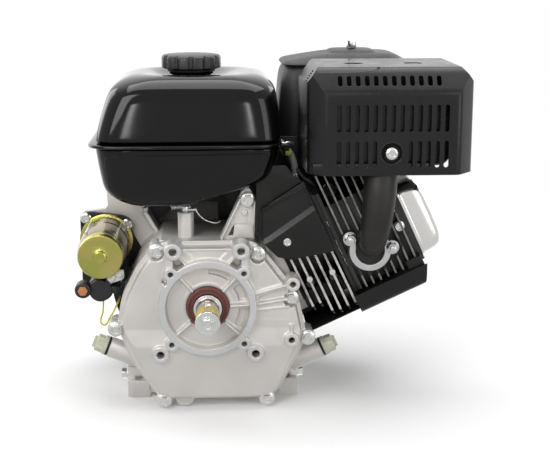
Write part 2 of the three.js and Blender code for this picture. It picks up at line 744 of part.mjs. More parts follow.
// ---------------------------------------------------------------- fuel tank
function fuelTank() {
  const front = [
    [-119, 147], [-110, 134], [-44, 122], [-12, 126], [14, 136], [50, 149], [72, 160], [82, 176],
    [90, 198], [88.5, 204], [84, 262], [70, 279], [46, 283], [10, 272], [-17, 269], [-46, 273],
    [-78, 283], [-101, 280], [-113, 264], [-133, 204], [-137, 198], [-127, 160],
  ];
  const plan = [[-138, 6], [91, 6], [91, 222], [-138, 222]];
  const body = (skin) => cut(
    common(
      plate('y', polygon(inset(front, skin)), [-10, 240]),
      plate('z', rounded(inset(plan, skin), 30), [100, 300], { segments: 5 })),
    box([-160, 100], [138 - skin, 250], [100, 144 + skin]));
  const rim = plate('z', rounded([[-141, -2], [92.5, -2], [92.5, 229], [-141, 229]], 34), [196.5, 200.5],
    { segments: 5 });
  const neck = [-17, 110];
  return cut(
    join(body(0), rim, bar([...neck, 262], [...neck, 275], 29)),
    body(2.5),
    bar([...neck, 262], [...neck, 276], 25),
    bar([-17, 60, 110], [-17, 60, 135], 4));
}

function fuelCap() {
  const scallops = Array.from({ length: 12 }, (_, i) => {
    const angle = i * Math.PI / 6;
    const [x, y] = [38.5 * Math.cos(angle), 38.5 * Math.sin(angle)];
    return bar([x, y, 278], [x, y, 305], 3.8, 6);
  });
  return cut(
    join(
      bar([0, 0, 279], [0, 0, 297], 36.5, 24),
      bar([0, 0, 296.9], [0, 0, 300.6], 36.5, 24, 32.5)),
    bar([0, 0, 275], [0, 0, 292], 30, 16),
    ...scallops);
}

// ---------------------------------------------------------------- intake side
function carburetor() {
  return cut(
    join(
      barY([186.7, 87], [152.5, 190], 18),
      box([162, 212], [152.5, 158], [70, 104]),
      bar([186.7, 176, 46], [186.7, 176, 76], 21, 24),
      bar([186.7, 176, 38], [186.7, 176, 47], 6),
      barY([187, 60], [190, 198], 6, 16),
      bar([200, 178, 92], [213, 178, 92], 4, 12)),
    barY([186.7, 87], [150, 192], 12));
}

function chokeLever() {
  return join(
    bar([213.3, 178, 92], [215.8, 178, 92], 6, 16),
    box([213.3, 215.8], [175.5, 180.5], [92, 122]),
    bar([212, 178, 122], [224, 178, 122], 5, 16));
}

function fuelValveLever() {
  return join(
    barY([187, 60], [198.3, 202], 7, 16),
    box([187, 222], [198.3, 202], [56.5, 63.5]));
}

const cleanerPlan = rectangle([94, 272], [150, 280]);

function airCleanerBase() {
  return cut(
    join(
      plate('z', rounded(inset(cleanerPlan, 4), 22), [178, 184]),
      box([170, 204], [190.3, 218], [77, 180]),
      bar([196, 205, 180], [196, 205, 303], 3, 12)),
    box([173, 201], [193, 215], [80, 185]),
    barY([186.7, 87], [189, 200], 12),
  ).add(join(
    bar([196, 205, 182], [196, 205, 303], 3, 12),
    box([172, 202], [202, 208], [178, 184])));
}

function filterElement() {
  const frame = inset(cleanerPlan, 16);
  return cut(
    plate('z', rounded(frame, 16), [184.3, 270]),
    plate('z', rounded(inset(frame, 22), 8), [183, 271]));
}

function airCleanerCover() {
  const skin = 2.5;
  const bulk = (distance, low) => join(
    plate('z', rounded(inset(cleanerPlan, distance), 24), [low, 288 - distance],
      { bevel: 0, segments: 4 }),
    plate('z', rounded(inset(rectangle([165, 229], [160, 272]), distance), 12), [low, 300 - distance]));
  return cut(
    bulk(0, 184.3),
    bulk(skin, 180),
    bar([196, 205, 280], [196, 205, 305], 3 + clearance, 12));
}

function wingNut() {
  const wing = (side) => plate('y', rounded([
    [side * 4, 300.5], [side * 15, 306], [side * 17, 313], [side * 11, 313], [side * 4, 308]], 2),
  [-1.5, 1.5]);
  return cut(
    join(bar([0, 0, 300.3], [0, 0, 309], 7, 20), wing(1), wing(-1)),
    bar([0, 0, 299], [0, 0, 304], 3 + clearance, 12)).rotate([0, 0, 70]);
}

// ---------------------------------------------------------------- flywheel side
function flywheel() {
  return cut(
    join(
      barY([0, 0], [157, 200], 112, 28),
      barY([0, 0], [160, 172], 121, 28)),
    ringY([0, 0], [176, 201], 34, 98, 16),
    barY([0, 0], [150, 190], journalRadius + 0.6, 20, 12.6),
    barY([0, 0], [189, 201], 12.6, 20));
}

function coolingFan() {
  const blades = Array.from({ length: 12 }, (_, i) => {
    const geometry = new THREE.BoxGeometry(44, 24, 2);
    geometry.translate(92, 214, 0).rotateY(i * Math.PI / 6);
    return solid(geometry);
  });
  return join(ringY([0, 0], [200.3, 203], 50, 115, 24), ...blades);
}

function starterCup() {
  return cut(
    barY([0, 0], [200.3, 230], 46, 24),
    barY([0, 0], [203, 231], 43, 24),
    barY([0, 0], [200, 204], 13));
}

// The blower housing: a drum round the fan with a duct that opens towards the cylinder fins.
function fanHousing() {
  const duct = [[60, -112], [186, -4], [122, 134], [20, 126]];
  const rear = 245;
  return cut(
    join(
      barY([0, 0], [rearFace, rear], housingRadius, 32),
      plate('y', rounded(duct, 10), [rearFace + 1, 216]),
      throttleStand()),
    barY([0, 0], [rearFace + 2, rear - 2], housingRadius - 2.3, 32),
    plate('y', rounded(inset(duct, 2), 9), [rearFace, 214]),
    barY([0, 0], [rearFace - 1, rearFace + 3], 105, 24),
    barY([0, 0], [rear - 3, rear + 1], 66, 24),
    barY(starterAxis, [rearFace - 1, 186], 26));
}

const throttlePivot = [-112, 84];
const throttleStand = () => join(
  barY(throttlePivot, [176, 186], 7, 16), box([-112, -92], [178, 184], [78, 90]));

function throttleLever() {
  return join(
    barY(throttlePivot, [186.3, 189], 8, 20),
    ribY(throttlePivot, [-119.4, 125.8], 4, [186.3, 189]),
    barY([-119.4, 125.8], [186.3, 198], 6, 16));
}

function recoilHousing() {
  return cut(
    join(
      barY([0, 0], [245.3, 276], 82, 24),
      barY([0, 0], [276, 288], 82, 24, 62)),
    barY([0, 0], [244, 274], 79, 24),
    barY([0, 0], [273, 284], 79, 24, 62),
    ...Array.from({ length: 6 }, (_, i) => {
      const angle = i * Math.PI / 3;
      return barY([46 * Math.cos(angle), 46 * Math.sin(angle)], [280, 290], 9, 6);
    }),
    bar([-30, 262, 60], [-50, 262, 100], 6, 12),
  ).add(barY([0, 0], [250, 286], 7, 16));
}

const recoilReel = () => cut(
  join(barY([0, 0], [254, 257], 62, 24), barY([0, 0], [256, 268], 54, 24),
    barY([0, 0], [267, 270], 62, 24)),
  barY([0, 0], [253, 271], 7 + clearance, 16));

const pullDirection = new THREE.Vector3(-1, 0, 2).normalize();

function pullHandle() {
  const at = (distance) => [
    -42 + distance * pullDirection.x, 262, 84 + distance * pullDirection.z];
  const [x, y, z] = at(24);
  const [reachX, reachZ] = [38 * pullDirection.z, -38 * pullDirection.x];
  return join(
    bar(at(6), at(22), 6, 16, 9),
    bar([x - reachX, y, z - reachZ], [x + reachX, y, z + reachZ], 9));
}

function ignitionCoil() {
  return join(
    box([-8, 8], [176, 192], [113, 123.5]),
    box([-20, 20], [178, 190], [115, 122]));
}

function starterMotor() {
  const [x, z] = starterAxis;
  const flange = [[x - 34, z - 70], [x + 14, z - 70], [x + 36, z + 24], [x + 24, z + 32],
    [x - 24, z + 38], [x - 34, z + 34]];
  return join(
    barY(starterAxis, [36, 131], starterRadius, 28),
    barY(starterAxis, [33, 36.2], starterRadius - 2.5, 28, starterRadius),
    barY(starterAxis, [30, 34], 8, 16),
    plate('y', rounded(flange, 8), [130.5, 137.7]),
    barY(starterAxis, [137, 146], 14),
    barY(starterAxis, [140, 178], 6, 16));
}

function starterSolenoid() {
  const [x, z] = [-134, 11.5];
  return join(
    barY([x, z], [56, 130.2], 16, 28),
    barY([x, z], [48, 56.2], 14, 24),
    barY([x - 21, z + 2], [42, 62], 10.5, 20),
    box([x - 22, x], [50, 62], [z - 4, z + 8]),
    barY([x - 21, z + 2], [38, 43], 6, 6),
    box([x, x + 22], [52, 70], [z - 6, z + 6]));
}

const starterPinion = () => cut(
  join(plate('y', polygon(starGear(10, 16.5, 21)), [148, 158]), barY([0, 0], [146.5, 149], 12)),
  barY([0, 0], [146, 159], 6 + clearance, 16));

function starGear(teeth, rootRadius, tipRadius) {
  const step = 2 * Math.PI / teeth;
  return Array.from({ length: teeth }, (_, i) => [
    [rootRadius, -0.32], [tipRadius, -0.15], [tipRadius, 0.15], [rootRadius, 0.32],
  ].map(([radius, share]) => [
    radius * Math.cos((i + share) * step), radius * Math.sin((i + share) * step)])).flat();
}

// ---------------------------------------------------------------- small fittings
function oilPlug() {
  return join(
    bar([0, 0, -13], [0, 0, 0.2], 8, 16),
    bar([0, 0, 0], [0, 0, 2.5], 13, 24),
    bar([0, 0, 2.5], [0, 0, 18], 12.2, 24, 11),
    box([-8, 8], [-2.5, 2.5], [17, 22]));
}

function drainBolt(side, x) {
  return join(
    bar([x - side * 10, 81, -109], [x + side * 0.5, 81, -109], 5, 12),
    bar([x + side * 0.3, 81, -109], [x + side * 2, 81, -109], 10, 20),
    bar([x + side * 2, 81, -109], [x + side * 9, 81, -109], 8.5, 6));
}

function keySwitch() {
  return cut(
    box([-150, -112], [192, 236], [-24, 22]),
    barY([0, 0], [180, 250], housingRadius + clearance, 32));
}

function ignitionKey() {
  return join(
    bar([-150.3, 0, 0], [-156, 0, 0], 8, 20),
    box([-172, -156], [-9, 9], [-1.5, 1.5]));
}

// ---------------------------------------------------------------- assembly
addPiece(engine, 'crankcase', crankcase(), 'castAluminium');
addPiece(engine, 'crankcase_cover', crankcaseCover(), 'castAluminium');
addPiece(engine, 'pto_oil_seal', oilSeal(), 'rubber');
addPiece(engine, 'pto_bearing', mainBearing([16.3, 33]), 'machinedSteel');
addPiece(engine, 'flywheel_bearing', mainBearing([127.5, 144]), 'machinedSteel');
addPiece(cylinderGroup, 'crankshaft_pto_half', crankshaftPtoHalf(), 'machinedSteel');
addPiece(cylinderGroup, 'crankshaft_flywheel_half', crankshaftFlywheelHalf(), 'machinedSteel');
addPiece(cylinderGroup, 'shaft_end_bolt', shaftEndBolt(), 'zincPlate');
addPiece(cylinderGroup, 'crankpin', crankpin(), 'machinedSteel');
addPiece(cylinderGroup, 'connecting_rod', connectingRod(), 'castAluminium');
addPiece(cylinderGroup, 'piston', piston(), 'castAluminium');
addPiece(cylinderGroup, 'piston_pin', pistonPin(), 'machinedSteel');
addPiece(engine, 'camshaft', camshaft(), 'castIron', [camAxis[0], 0, camAxis[1]]);
addPiece(cylinderGroup, 'cylinder_head', cylinderHead(), 'blackCasting');
addPiece(cylinderGroup, 'valve_cover', valveCover(), 'chrome');
for (const [kind, y, radius] of [['exhaust', 68, 16], ['intake', 116, 18]]) {
  addPiece(cylinderGroup, `${kind}_valve`, valve(y, radius), 'machinedSteel');
  addPiece(cylinderGroup, `${kind}_pushrod`, pushrod(y), 'machinedSteel');
  addPiece(cylinderGroup, `${kind}_rocker`, rocker(y), 'machinedSteel');
}
addPiece(cylinderGroup, 'spark_plug', sparkPlug(), 'zincPlate');
addPiece(cylinderGroup, 'plug_cap', plugCap(), 'blackPlastic');
addPiece(cylinderGroup, 'head_shroud', headShroud(), 'satinBlack');
addPiece(engine, 'side_shroud', sideShroud(), 'satinBlack');
addPiece(engine, 'exhaust_pipe', exhaustPipe(), 'satinBlack');
addPiece(engine, 'exhaust_flange', exhaustFlange(), 'zincPlate');
addPiece(engine, 'exhaust_nut_left', exhaustNut(exhaustNuts.left), 'zincPlate');
addPiece(engine, 'exhaust_nut_right', exhaustNut(exhaustNuts.right), 'zincPlate');
addPiece(engine, 'muffler_body', mufflerBody(), 'satinBlack');
addPiece(engine, 'muffler_cover', mufflerCover(), 'satinBlack');
addPiece(engine, 'muffler_cover_bolt', boltY([219.8, 191.2], -16, -10.3, 8, 6.5, 3.4), 'zincPlate');
addPiece(engine, 'carburetor', carburetor(), 'castAluminium');
addPiece(engine, 'choke_lever', chokeLever(), 'blackPlastic');
addPiece(engine, 'fuel_valve_lever', fuelValveLever(), 'blackPlastic');
addPiece(engine, 'air_cleaner_base', airCleanerBase(), 'greyPlastic');
addPiece(engine, 'filter_element', filterElement(), 'foam');
addPiece(engine, 'air_cleaner_cover', airCleanerCover(), 'greyPlastic');
addPiece(engine, 'wing_nut', wingNut(), 'zincPlate', [196, 205, 0]);
addPiece(engine, 'fuel_tank', fuelTank(), 'glossBlack');
addPiece(engine, 'fuel_cap', fuelCap(), 'blackPlastic', [-17, 110, 0]);
addPiece(engine, 'bracket_bolt', boltY([50.5, 129], 26, 33.7, 46, 7.5, 4), 'zincPlate');
addPiece(engine, 'flywheel', flywheel(), 'castIron');
addPiece(engine, 'cooling_fan', coolingFan(), 'blackPlastic');
addPiece(engine, 'starter_cup', starterCup(), 'zincPlate');
addPiece(engine, 'fan_housing', fanHousing(), 'satinBlack');
addPiece(engine, 'recoil_housing', recoilHousing(), 'satinBlack');
addPiece(engine, 'recoil_reel', recoilReel(), 'blackPlastic');
addPiece(engine, 'pull_handle', pullHandle(), 'blackPlastic');
addPiece(engine, 'ignition_coil', ignitionCoil(), 'blackPlastic');
addPiece(engine, 'starter_motor', starterMotor(), 'yellowZinc');
addPiece(engine, 'starter_solenoid', starterSolenoid(), 'blackPlastic');
addPiece(engine, 'starter_pinion', starterPinion(), 'machinedSteel', [starterAxis[0], 0, starterAxis[1]]);
addPiece(engine, 'drain_bolt_left', drainBolt(-1, -104), 'zincPlate');
addPiece(engine, 'drain_bolt_right', drainBolt(1, 114), 'zincPlate');
addPiece(engine, 'throttle_lever', throttleLever(), 'zincPlate');
addPiece(engine, 'key_switch', keySwitch(), 'blackPlastic');
addPiece(engine, 'ignition_key', ignitionKey(), 'zincPlate', [0, 214, -1]);

// Each oil plug is drawn along its own Z axis and leans out of its filler neck.
for (const [name, place, lean] of [
  ['oil_plug_left', [-126, 64, -66.4], -Math.PI / 2 + THREE.MathUtils.degToRad(22.3)],
  ['oil_plug_right', [143.8, 58, -70.3], Math.PI / 2 - THREE.MathUtils.degToRad(24.5)],
]) {
  const plugGroup = new THREE.Group();
  plugGroup.position.set(...place);
  plugGroup.rotation.y = lean;
  addPiece(plugGroup, name, oilPlug(), 'creamPlastic', [0, 0, clearance]);
  engine.add(plugGroup);
}

export default engine;
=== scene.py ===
# The looks of a small petrol engine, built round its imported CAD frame.
# Shapes are drawn in millimetres from the crank axis, with Y = 0 in the plane of the mounting
# bosses. They become metres in the frame's own axes where a mesh is made.
import contextlib
import json
import math

import bmesh
import bpy
from mathutils import Matrix, Vector


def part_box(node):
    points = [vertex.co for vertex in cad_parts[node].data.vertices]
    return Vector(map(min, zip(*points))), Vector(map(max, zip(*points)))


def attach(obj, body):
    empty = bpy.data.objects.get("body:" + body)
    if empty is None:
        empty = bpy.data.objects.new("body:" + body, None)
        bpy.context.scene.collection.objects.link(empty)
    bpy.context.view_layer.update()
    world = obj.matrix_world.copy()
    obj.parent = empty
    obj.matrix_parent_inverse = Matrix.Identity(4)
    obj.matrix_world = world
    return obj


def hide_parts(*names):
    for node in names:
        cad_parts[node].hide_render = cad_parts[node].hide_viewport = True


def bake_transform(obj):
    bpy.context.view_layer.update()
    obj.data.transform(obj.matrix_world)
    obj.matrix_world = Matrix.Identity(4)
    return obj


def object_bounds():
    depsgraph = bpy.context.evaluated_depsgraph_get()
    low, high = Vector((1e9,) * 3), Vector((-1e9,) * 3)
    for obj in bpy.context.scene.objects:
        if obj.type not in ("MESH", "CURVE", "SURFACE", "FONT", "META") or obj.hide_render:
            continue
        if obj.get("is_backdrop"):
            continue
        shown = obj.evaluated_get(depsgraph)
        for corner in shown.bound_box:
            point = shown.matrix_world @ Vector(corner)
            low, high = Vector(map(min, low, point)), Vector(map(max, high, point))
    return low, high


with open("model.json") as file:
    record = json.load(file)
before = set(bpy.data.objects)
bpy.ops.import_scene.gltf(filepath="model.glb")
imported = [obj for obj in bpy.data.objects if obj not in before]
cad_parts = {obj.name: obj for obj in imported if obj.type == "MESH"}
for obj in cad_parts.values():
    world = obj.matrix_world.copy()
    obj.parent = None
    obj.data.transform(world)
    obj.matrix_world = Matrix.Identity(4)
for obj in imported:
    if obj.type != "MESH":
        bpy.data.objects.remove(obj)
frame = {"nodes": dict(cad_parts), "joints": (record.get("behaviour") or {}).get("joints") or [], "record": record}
cad_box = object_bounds()

MM = 0.001
DATUM = Vector((0, 66, 0))  # from the drawing's origin to the frame's, in millimetres
TILT = math.radians(25)  # slope of the cylinder above horizontal
SLOPED = Matrix.Rotation(-TILT, 4, "Y")


def to_frame(point):
    """A drawn point in millimetres as a point of the frame in metres."""
    return (Vector(point) + DATUM) * MM


def drawn(point):
    """A point of the frame in metres as a drawn point in millimetres."""
    return Vector(point) / MM - DATUM


def span(node):
    """The two corners of a CAD node's box, as drawn points."""
    return [drawn(corner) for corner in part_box(node)]


def centre(node):
    low, high = span(node)
    return (low + high) / 2


# ---- node helpers
class Tree:
    """A short way to build the node tree of a material or a world."""

    def __init__(self, owner):
        self.material = owner
        owner.use_nodes = True
        self.nodes, self.links = owner.node_tree.nodes, owner.node_tree.links
        self.shader = self.nodes.get("Principled BSDF")
        self.place = self.add("ShaderNodeTexCoord").outputs["Object"]

    def add(self, kind, inputs=None, **settings):
        node = self.nodes.new(kind)
        for key, value in settings.items():
            setattr(node, key, value)
        for key, value in (inputs or {}).items():
            self.feed(node.inputs[key], value)
        return node

    def feed(self, socket, value):
        if isinstance(value, bpy.types.NodeSocket):
            self.links.new(value, socket)
        elif hasattr(socket.default_value, "__len__") and len(socket.default_value) == 4:
            socket.default_value = (*value[:3], 1)
        else:
            socket.default_value = value

    def give(self, name, value):
        """Sets or links one input of the material's own shader."""
        self.feed(self.shader.inputs[name], value)

    def noise(self, scale, detail=3, stretch=None, distortion=0.0):
        place = self.place
        if stretch:
            place = self.add("ShaderNodeMapping", {"Vector": place, "Scale": stretch}).outputs[0]
        return self.add("ShaderNodeTexNoise", {
            "Vector": place, "Scale": scale, "Detail": detail, "Distortion": distortion,
        }).outputs["Fac"]

    def spread(self, value, low, high, source=(0.3, 0.7), smooth=False):
        return self.add("ShaderNodeMapRange", {
            "Value": value, "From Min": source[0], "From Max": source[1],
            "To Min": low, "To Max": high,
        }, interpolation_type="SMOOTHSTEP" if smooth else "LINEAR").outputs[0]

    def maths(self, operation, first, second=0.0):
        return self.add("ShaderNodeMath", {0: first, 1: second}, operation=operation).outputs[0]

    def mix(self, share, first, second):
        return self.add("ShaderNodeMix", {0: share, 6: first, 7: second},
                        data_type="RGBA").outputs[2]

    def blend(self, share, first, second):
        return self.add("ShaderNodeMix", {0: share, 2: first, 3: second}).outputs[0]

    def facing(self, axis):
        """How far the surface's own normal points along one axis, from -1 to 1."""
        normal = self.add("ShaderNodeTexCoord").outputs["Normal"]
        return self.add("ShaderNodeSeparateXYZ", {0: normal}).outputs[axis]

    def along(self, axis):
        """The drawn place along one axis, in metres."""
        place = self.add("ShaderNodeSeparateXYZ", {0: self.place}).outputs[axis]
        return self.maths("SUBTRACT", place, DATUM["XYZ".index(axis)] * MM)

    def edges(self, radius):
        """Near 1 on sharp edges and 0 on flat ground, with the rounded normal."""
        bevel = self.add("ShaderNodeBevel", {"Radius": radius}, samples=4).outputs[0]
        plain = self.add("ShaderNodeNewGeometry").outputs["Normal"]
        match = self.add("ShaderNodeVectorMath", {0: bevel, 1: plain}, operation="DOT_PRODUCT")
        return self.spread(match.outputs["Value"], 0, 1, (0.985, 0.8)), bevel


def surface(name, colour, metallic, roughness, grain=900, bump=0.05, mottle=0.12, uneven=0.08,
            edge_wear_and_highlight=None, edge_wear_and_highlight_amount=0.6, round_edge=0.6, shine=0.5, depth=0.0003):
    """A finish with fine grain, slow colour change, uneven gloss and rounded edges, whose edge colour is partly
    wear and partly a painted highlight.
    """
    tree = Tree(bpy.data.materials.new(name))
    slow = tree.noise(22, 4)
    fine = tree.noise(grain, 4)
    dark = [c * (1 - mottle) for c in colour]
    light = [min(1, c * (1 + mottle)) for c in colour]
    shade = tree.mix(tree.spread(slow, 0, 1), dark, light)
    shade = tree.mix(tree.spread(fine, 0, 0.5), shade, dark)
    gloss = tree.blend(tree.spread(slow, 0, 1), roughness - uneven, roughness + uneven)
    gloss = tree.blend(tree.spread(tree.noise(180, 3), 0, 0.5), gloss, roughness + 1.5 * uneven)
    edge, rounded_normal = tree.edges(round_edge * MM)
    metal = metallic
    # Edge colour: partly real wear, partly a painted highlight along the edges.
    if edge_wear_and_highlight:
        share = tree.maths("MULTIPLY", edge, tree.spread(tree.noise(140, 5), 0, edge_wear_and_highlight_amount,
                                                         (0.35, 0.6)))
        shade = tree.mix(share, shade, edge_wear_and_highlight)
        metal = tree.blend(share, metallic, 0.9)
    relief = tree.add("ShaderNodeBump", {
        "Strength": bump, "Distance": depth, "Height": fine, "Normal": rounded_normal})
    tree.give("Base Color", shade)
    tree.give("Metallic", metal)
    tree.give("Roughness", gloss)
    tree.give("Normal", relief.outputs[0])
    tree.shader.inputs["Specular IOR Level"].default_value = shine
    tree.shade, tree.metal, tree.gloss = shade, metal, gloss
    return tree


# Edge colour of the aluminium castings: partly bare worn metal, partly a painted highlight.
BARE_EDGE_AND_HIGHLIGHT = (0.80, 0.79, 0.76)
CAST = (0.70, 0.675, 0.64)


def cast_aluminium():
    """Sand-grained casting, smoother and brighter where its front pads are machined."""
    tree = surface("cast_aluminium", CAST, 0.50, 0.42, grain=1500, bump=0.5, mottle=0.06,
                   edge_wear_and_highlight=BARE_EDGE_AND_HIGHLIGHT, edge_wear_and_highlight_amount=0.5, round_edge=0.9, depth=0.00025)
    front = tree.maths("LESS_THAN", tree.along("Y"), 0.0006)
    brushed = tree.spread(tree.noise(260, 3, stretch=(1, 1, 9)), 0.60, 0.72)
    tree.give("Base Color", tree.mix(front, tree.shade, tree.add(
        "ShaderNodeCombineColor", {0: brushed, 1: brushed, 2: brushed}).outputs[0]))
    tree.give("Roughness", tree.blend(front, tree.gloss, 0.3))
    return tree.material


def fin_mask(tree, start):
    """1 past a place along the sloping cylinder, 0 before it."""
    reach = tree.maths("ADD", tree.maths("MULTIPLY", tree.along("X"), math.cos(TILT)),
                       tree.maths("MULTIPLY", tree.along("Z"), math.sin(TILT)))
    return tree.maths("GREATER_THAN", reach, start)


FIN_FACES = (0.025, 0.0305)  # where the fins' front edges lie along Y, in metres


def painted_fins(tree, start, brightness):
    """Black paint past the given place, ground bare on the fin edges that face the front."""
    beyond = fin_mask(tree, start)
    front = tree.maths("LESS_THAN", tree.facing("Y"), -0.7)
    rows = [tree.maths("COMPARE", tree.along("Y"), depth) for depth in FIN_FACES]
    for row in rows:
        row.node.inputs[2].default_value = 0.0004
    bare = tree.maths("MULTIPLY", tree.maths("MULTIPLY", front, tree.maths("ADD", *rows)),
                      tree.spread(tree.noise(60, 4), brightness * 0.4, brightness, (0.3, 0.5)))
    paint = tree.maths("SUBTRACT", beyond, tree.maths("MULTIPLY", bare, beyond))
    tree.give("Base Color", tree.mix(paint, tree.shade, tree.mix(
        tree.noise(300), (0.008, 0.0075, 0.007), (0.022, 0.020, 0.018))))
    tree.give("Metallic", tree.blend(paint, tree.metal, 0.1))
    tree.give("Roughness", tree.blend(paint, tree.gloss, 0.42))


def case_aluminium():
    tree = surface("case_aluminium", CAST, 0.40, 0.46, grain=1300, bump=0.5, mottle=0.07,
                   edge_wear_and_highlight=BARE_EDGE_AND_HIGHLIGHT, edge_wear_and_highlight_amount=0.4, round_edge=0.9, depth=0.00025)
    painted_fins(tree, 0.1085, 0.95)
    return tree.material


def head_casting():
    tree = surface("head_casting", (0.60, 0.58, 0.55), 0.6, 0.42, grain=1300, bump=0.5,
                   round_edge=0.5, depth=0.0002)
    painted_fins(tree, 0.05, 0.42)
    return tree.material


def turned_steel(name="turned_steel", colour=(0.70, 0.69, 0.67), roughness=0.2):
    """Steel turned on a lathe: fine rings round the Y axis."""
    tree = surface(name, colour, 1.0, roughness, grain=700, bump=0.04, mottle=0.05, uneven=0.05,
                   round_edge=0.5)
    rings = tree.noise(40, 2, stretch=(1, 90, 1))
    relief = tree.add("ShaderNodeBump", {"Strength": 0.12, "Distance": 0.0002, "Height": rings})
    tree.give("Normal", relief.outputs[0])
    tree.shader.inputs["Anisotropic"].default_value = 0.5
    return tree


def marked_shaft():
    """The output shaft, with a smeared band of yellow marking paint."""
    tree = turned_steel("marked_shaft")
    low, high = -0.053, -0.028  # ends of the band, in metres
    band = tree.maths("MULTIPLY", tree.maths("GREATER_THAN", tree.along("Y"), low),
                      tree.maths("LESS_THAN", tree.along("Y"), high))
    smear = tree.maths("MULTIPLY", band, tree.spread(tree.noise(90, 4, distortion=1.5), 0, 1,
                                                     (0.42, 0.5)))
    tree.give("Base Color", tree.mix(smear, tree.shade, (0.62, 0.47, 0.04)))
    tree.give("Metallic", tree.blend(smear, 1.0, 0.0))
    tree.give("Roughness", tree.blend(smear, tree.gloss, 0.5))
    return tree.material


def zinc(name, colour, roughness=0.24):
    return surface(name, colour, 1.0, roughness, grain=600, bump=0.06, mottle=0.08, uneven=0.07,
                   edge_wear_and_highlight=(0.45, 0.44, 0.42), edge_wear_and_highlight_amount=0.4, round_edge=0.4).material


def starter_can():
    """A dark tinted plating that turns from brown to gold round the can."""
    tree = surface("starter_can", (0.30, 0.24, 0.15), 1.0, 0.16, grain=500, bump=0.04,
                   mottle=0.25, uneven=0.05, round_edge=0.4)
    streak = tree.noise(14, 4, stretch=(1, 0.15, 1))
    tree.give("Base Color", tree.mix(
        tree.spread(streak, 0, 1), (0.16, 0.12, 0.08), (0.46, 0.38, 0.22)))
    return tree.material


def starter_cap_finish():
    tree = surface("starter_cap_finish", (0.52, 0.45, 0.13), 1.0, 0.26, grain=450, bump=0.05,
                   mottle=0.12, uneven=0.06, round_edge=0.5)
    tint = tree.spread(tree.noise(18, 3, distortion=1.0), 0, 1)
    tree.give("Base Color", tree.mix(tint, (0.52, 0.43, 0.15), (0.36, 0.40, 0.08)))
    return tree.material


# Edge colour of the black finishes: partly wear, partly a painted highlight along the edges.
SATIN_EDGE_WEAR_AND_HIGHLIGHT = (0.16, 0.155, 0.15)
PLAIN = {
    "copper": ((0.70, 0.30, 0.14), 1.0, 0.3, dict(bump=0.1)),
    "chrome": ((0.80, 0.79, 0.77), 1.0, 0.20, dict(grain=300, bump=0.02, mottle=0.03, uneven=0.03,
                                                   round_edge=0.8)),
    "cast_iron": ((0.17, 0.16, 0.155), 0.8, 0.55, dict(bump=0.5)),
    "gloss_black": ((0.003, 0.003, 0.0026), 0.0, 0.08, dict(grain=260, bump=0.012, mottle=0.2,
                                                            uneven=0.02, shine=0.3)),
    "satin_black": ((0.008, 0.0076, 0.007), 0.0, 0.32, dict(
        grain=1100, bump=0.14, mottle=0.2, edge_wear_and_highlight=SATIN_EDGE_WEAR_AND_HIGHLIGHT, edge_wear_and_highlight_amount=0.4, shine=0.32)),
    "pipe_black": ((0.024, 0.022, 0.020), 0.1, 0.42, dict(
        grain=900, bump=0.14, mottle=0.25, edge_wear_and_highlight=SATIN_EDGE_WEAR_AND_HIGHLIGHT, shine=0.35)),
    "guard_black": ((0.007, 0.0066, 0.0066), 0.0, 0.27, dict(
        grain=1400, bump=0.12, mottle=0.15, edge_wear_and_highlight=SATIN_EDGE_WEAR_AND_HIGHLIGHT, edge_wear_and_highlight_amount=0.5, shine=0.36)),
    "grey_plastic": ((0.022, 0.022, 0.022), 0.0, 0.5, dict(grain=1800, bump=0.3, mottle=0.1)),
    "black_plastic": ((0.010, 0.010, 0.010), 0.0, 0.36, dict(grain=1600, bump=0.15, mottle=0.1)),
    "hose_grey": ((0.30, 0.32, 0.29), 0.0, 0.4, {}),
    "cream_plastic": ((0.70, 0.70, 0.56), 0.0, 0.38, dict(bump=0.08, mottle=0.05)),
    "seal_rubber": ((0.15, 0.045, 0.035), 0.0, 0.5, dict(grain=700, bump=0.15, mottle=0.15)),
    "black_rubber": ((0.015, 0.015, 0.015), 0.0, 0.55, dict(bump=0.2)),
    "yellow_wire": ((0.68, 0.58, 0.04), 0.0, 0.4, {}),
    "rope": ((0.05, 0.05, 0.05), 0.0, 0.8, dict(grain=2500, bump=0.8)),
    "filter_foam": ((0.05, 0.05, 0.045), 0.0, 0.9, dict(bump=1.0)),
    "ceramic": ((0.8, 0.8, 0.78), 0.0, 0.25, dict(bump=0.03)),
}

finishes = {
    "cast_aluminium": cast_aluminium(), "case_aluminium": case_aluminium(),
    "head_casting": head_casting(), "machined_steel": turned_steel().material,
    "marked_shaft": marked_shaft(), "zinc_plate": zinc("zinc_plate", (0.74, 0.74, 0.72)),
    "washer_zinc": zinc("washer_zinc", (0.62, 0.63, 0.62), 0.34),
    "yellow_zinc": starter_cap_finish(), "starter_can": starter_can(),
    **{name: surface(name, *row, **more).material for name, (*row, more) in PLAIN.items()},
}


# ---- mesh helpers
def new_object(data):
    piece = bpy.data.objects.new("piece", data)
    bpy.context.scene.collection.objects.link(piece)
    return piece


@contextlib.contextmanager
def edited(mesh):
    """Opens a mesh for editing and writes it back."""
    work = bmesh.new()
    work.from_mesh(mesh)
    yield work
    work.to_mesh(mesh)
    work.free()


def all_smooth(piece):
    piece.data.polygons.foreach_set("use_smooth", [True] * len(piece.data.polygons))


def from_faces(points, faces, matrix=None):
    """A piece from points in millimetres, with its faces turned outwards."""
    mesh = bpy.data.meshes.new("piece")
    matrix = matrix or Matrix.Identity(4)
    mesh.from_pydata([to_frame(matrix @ Vector(p)) for p in points], [], faces)
    with edited(mesh) as work:
        bmesh.ops.recalc_face_normals(work, faces=work.faces)
    return new_object(mesh)


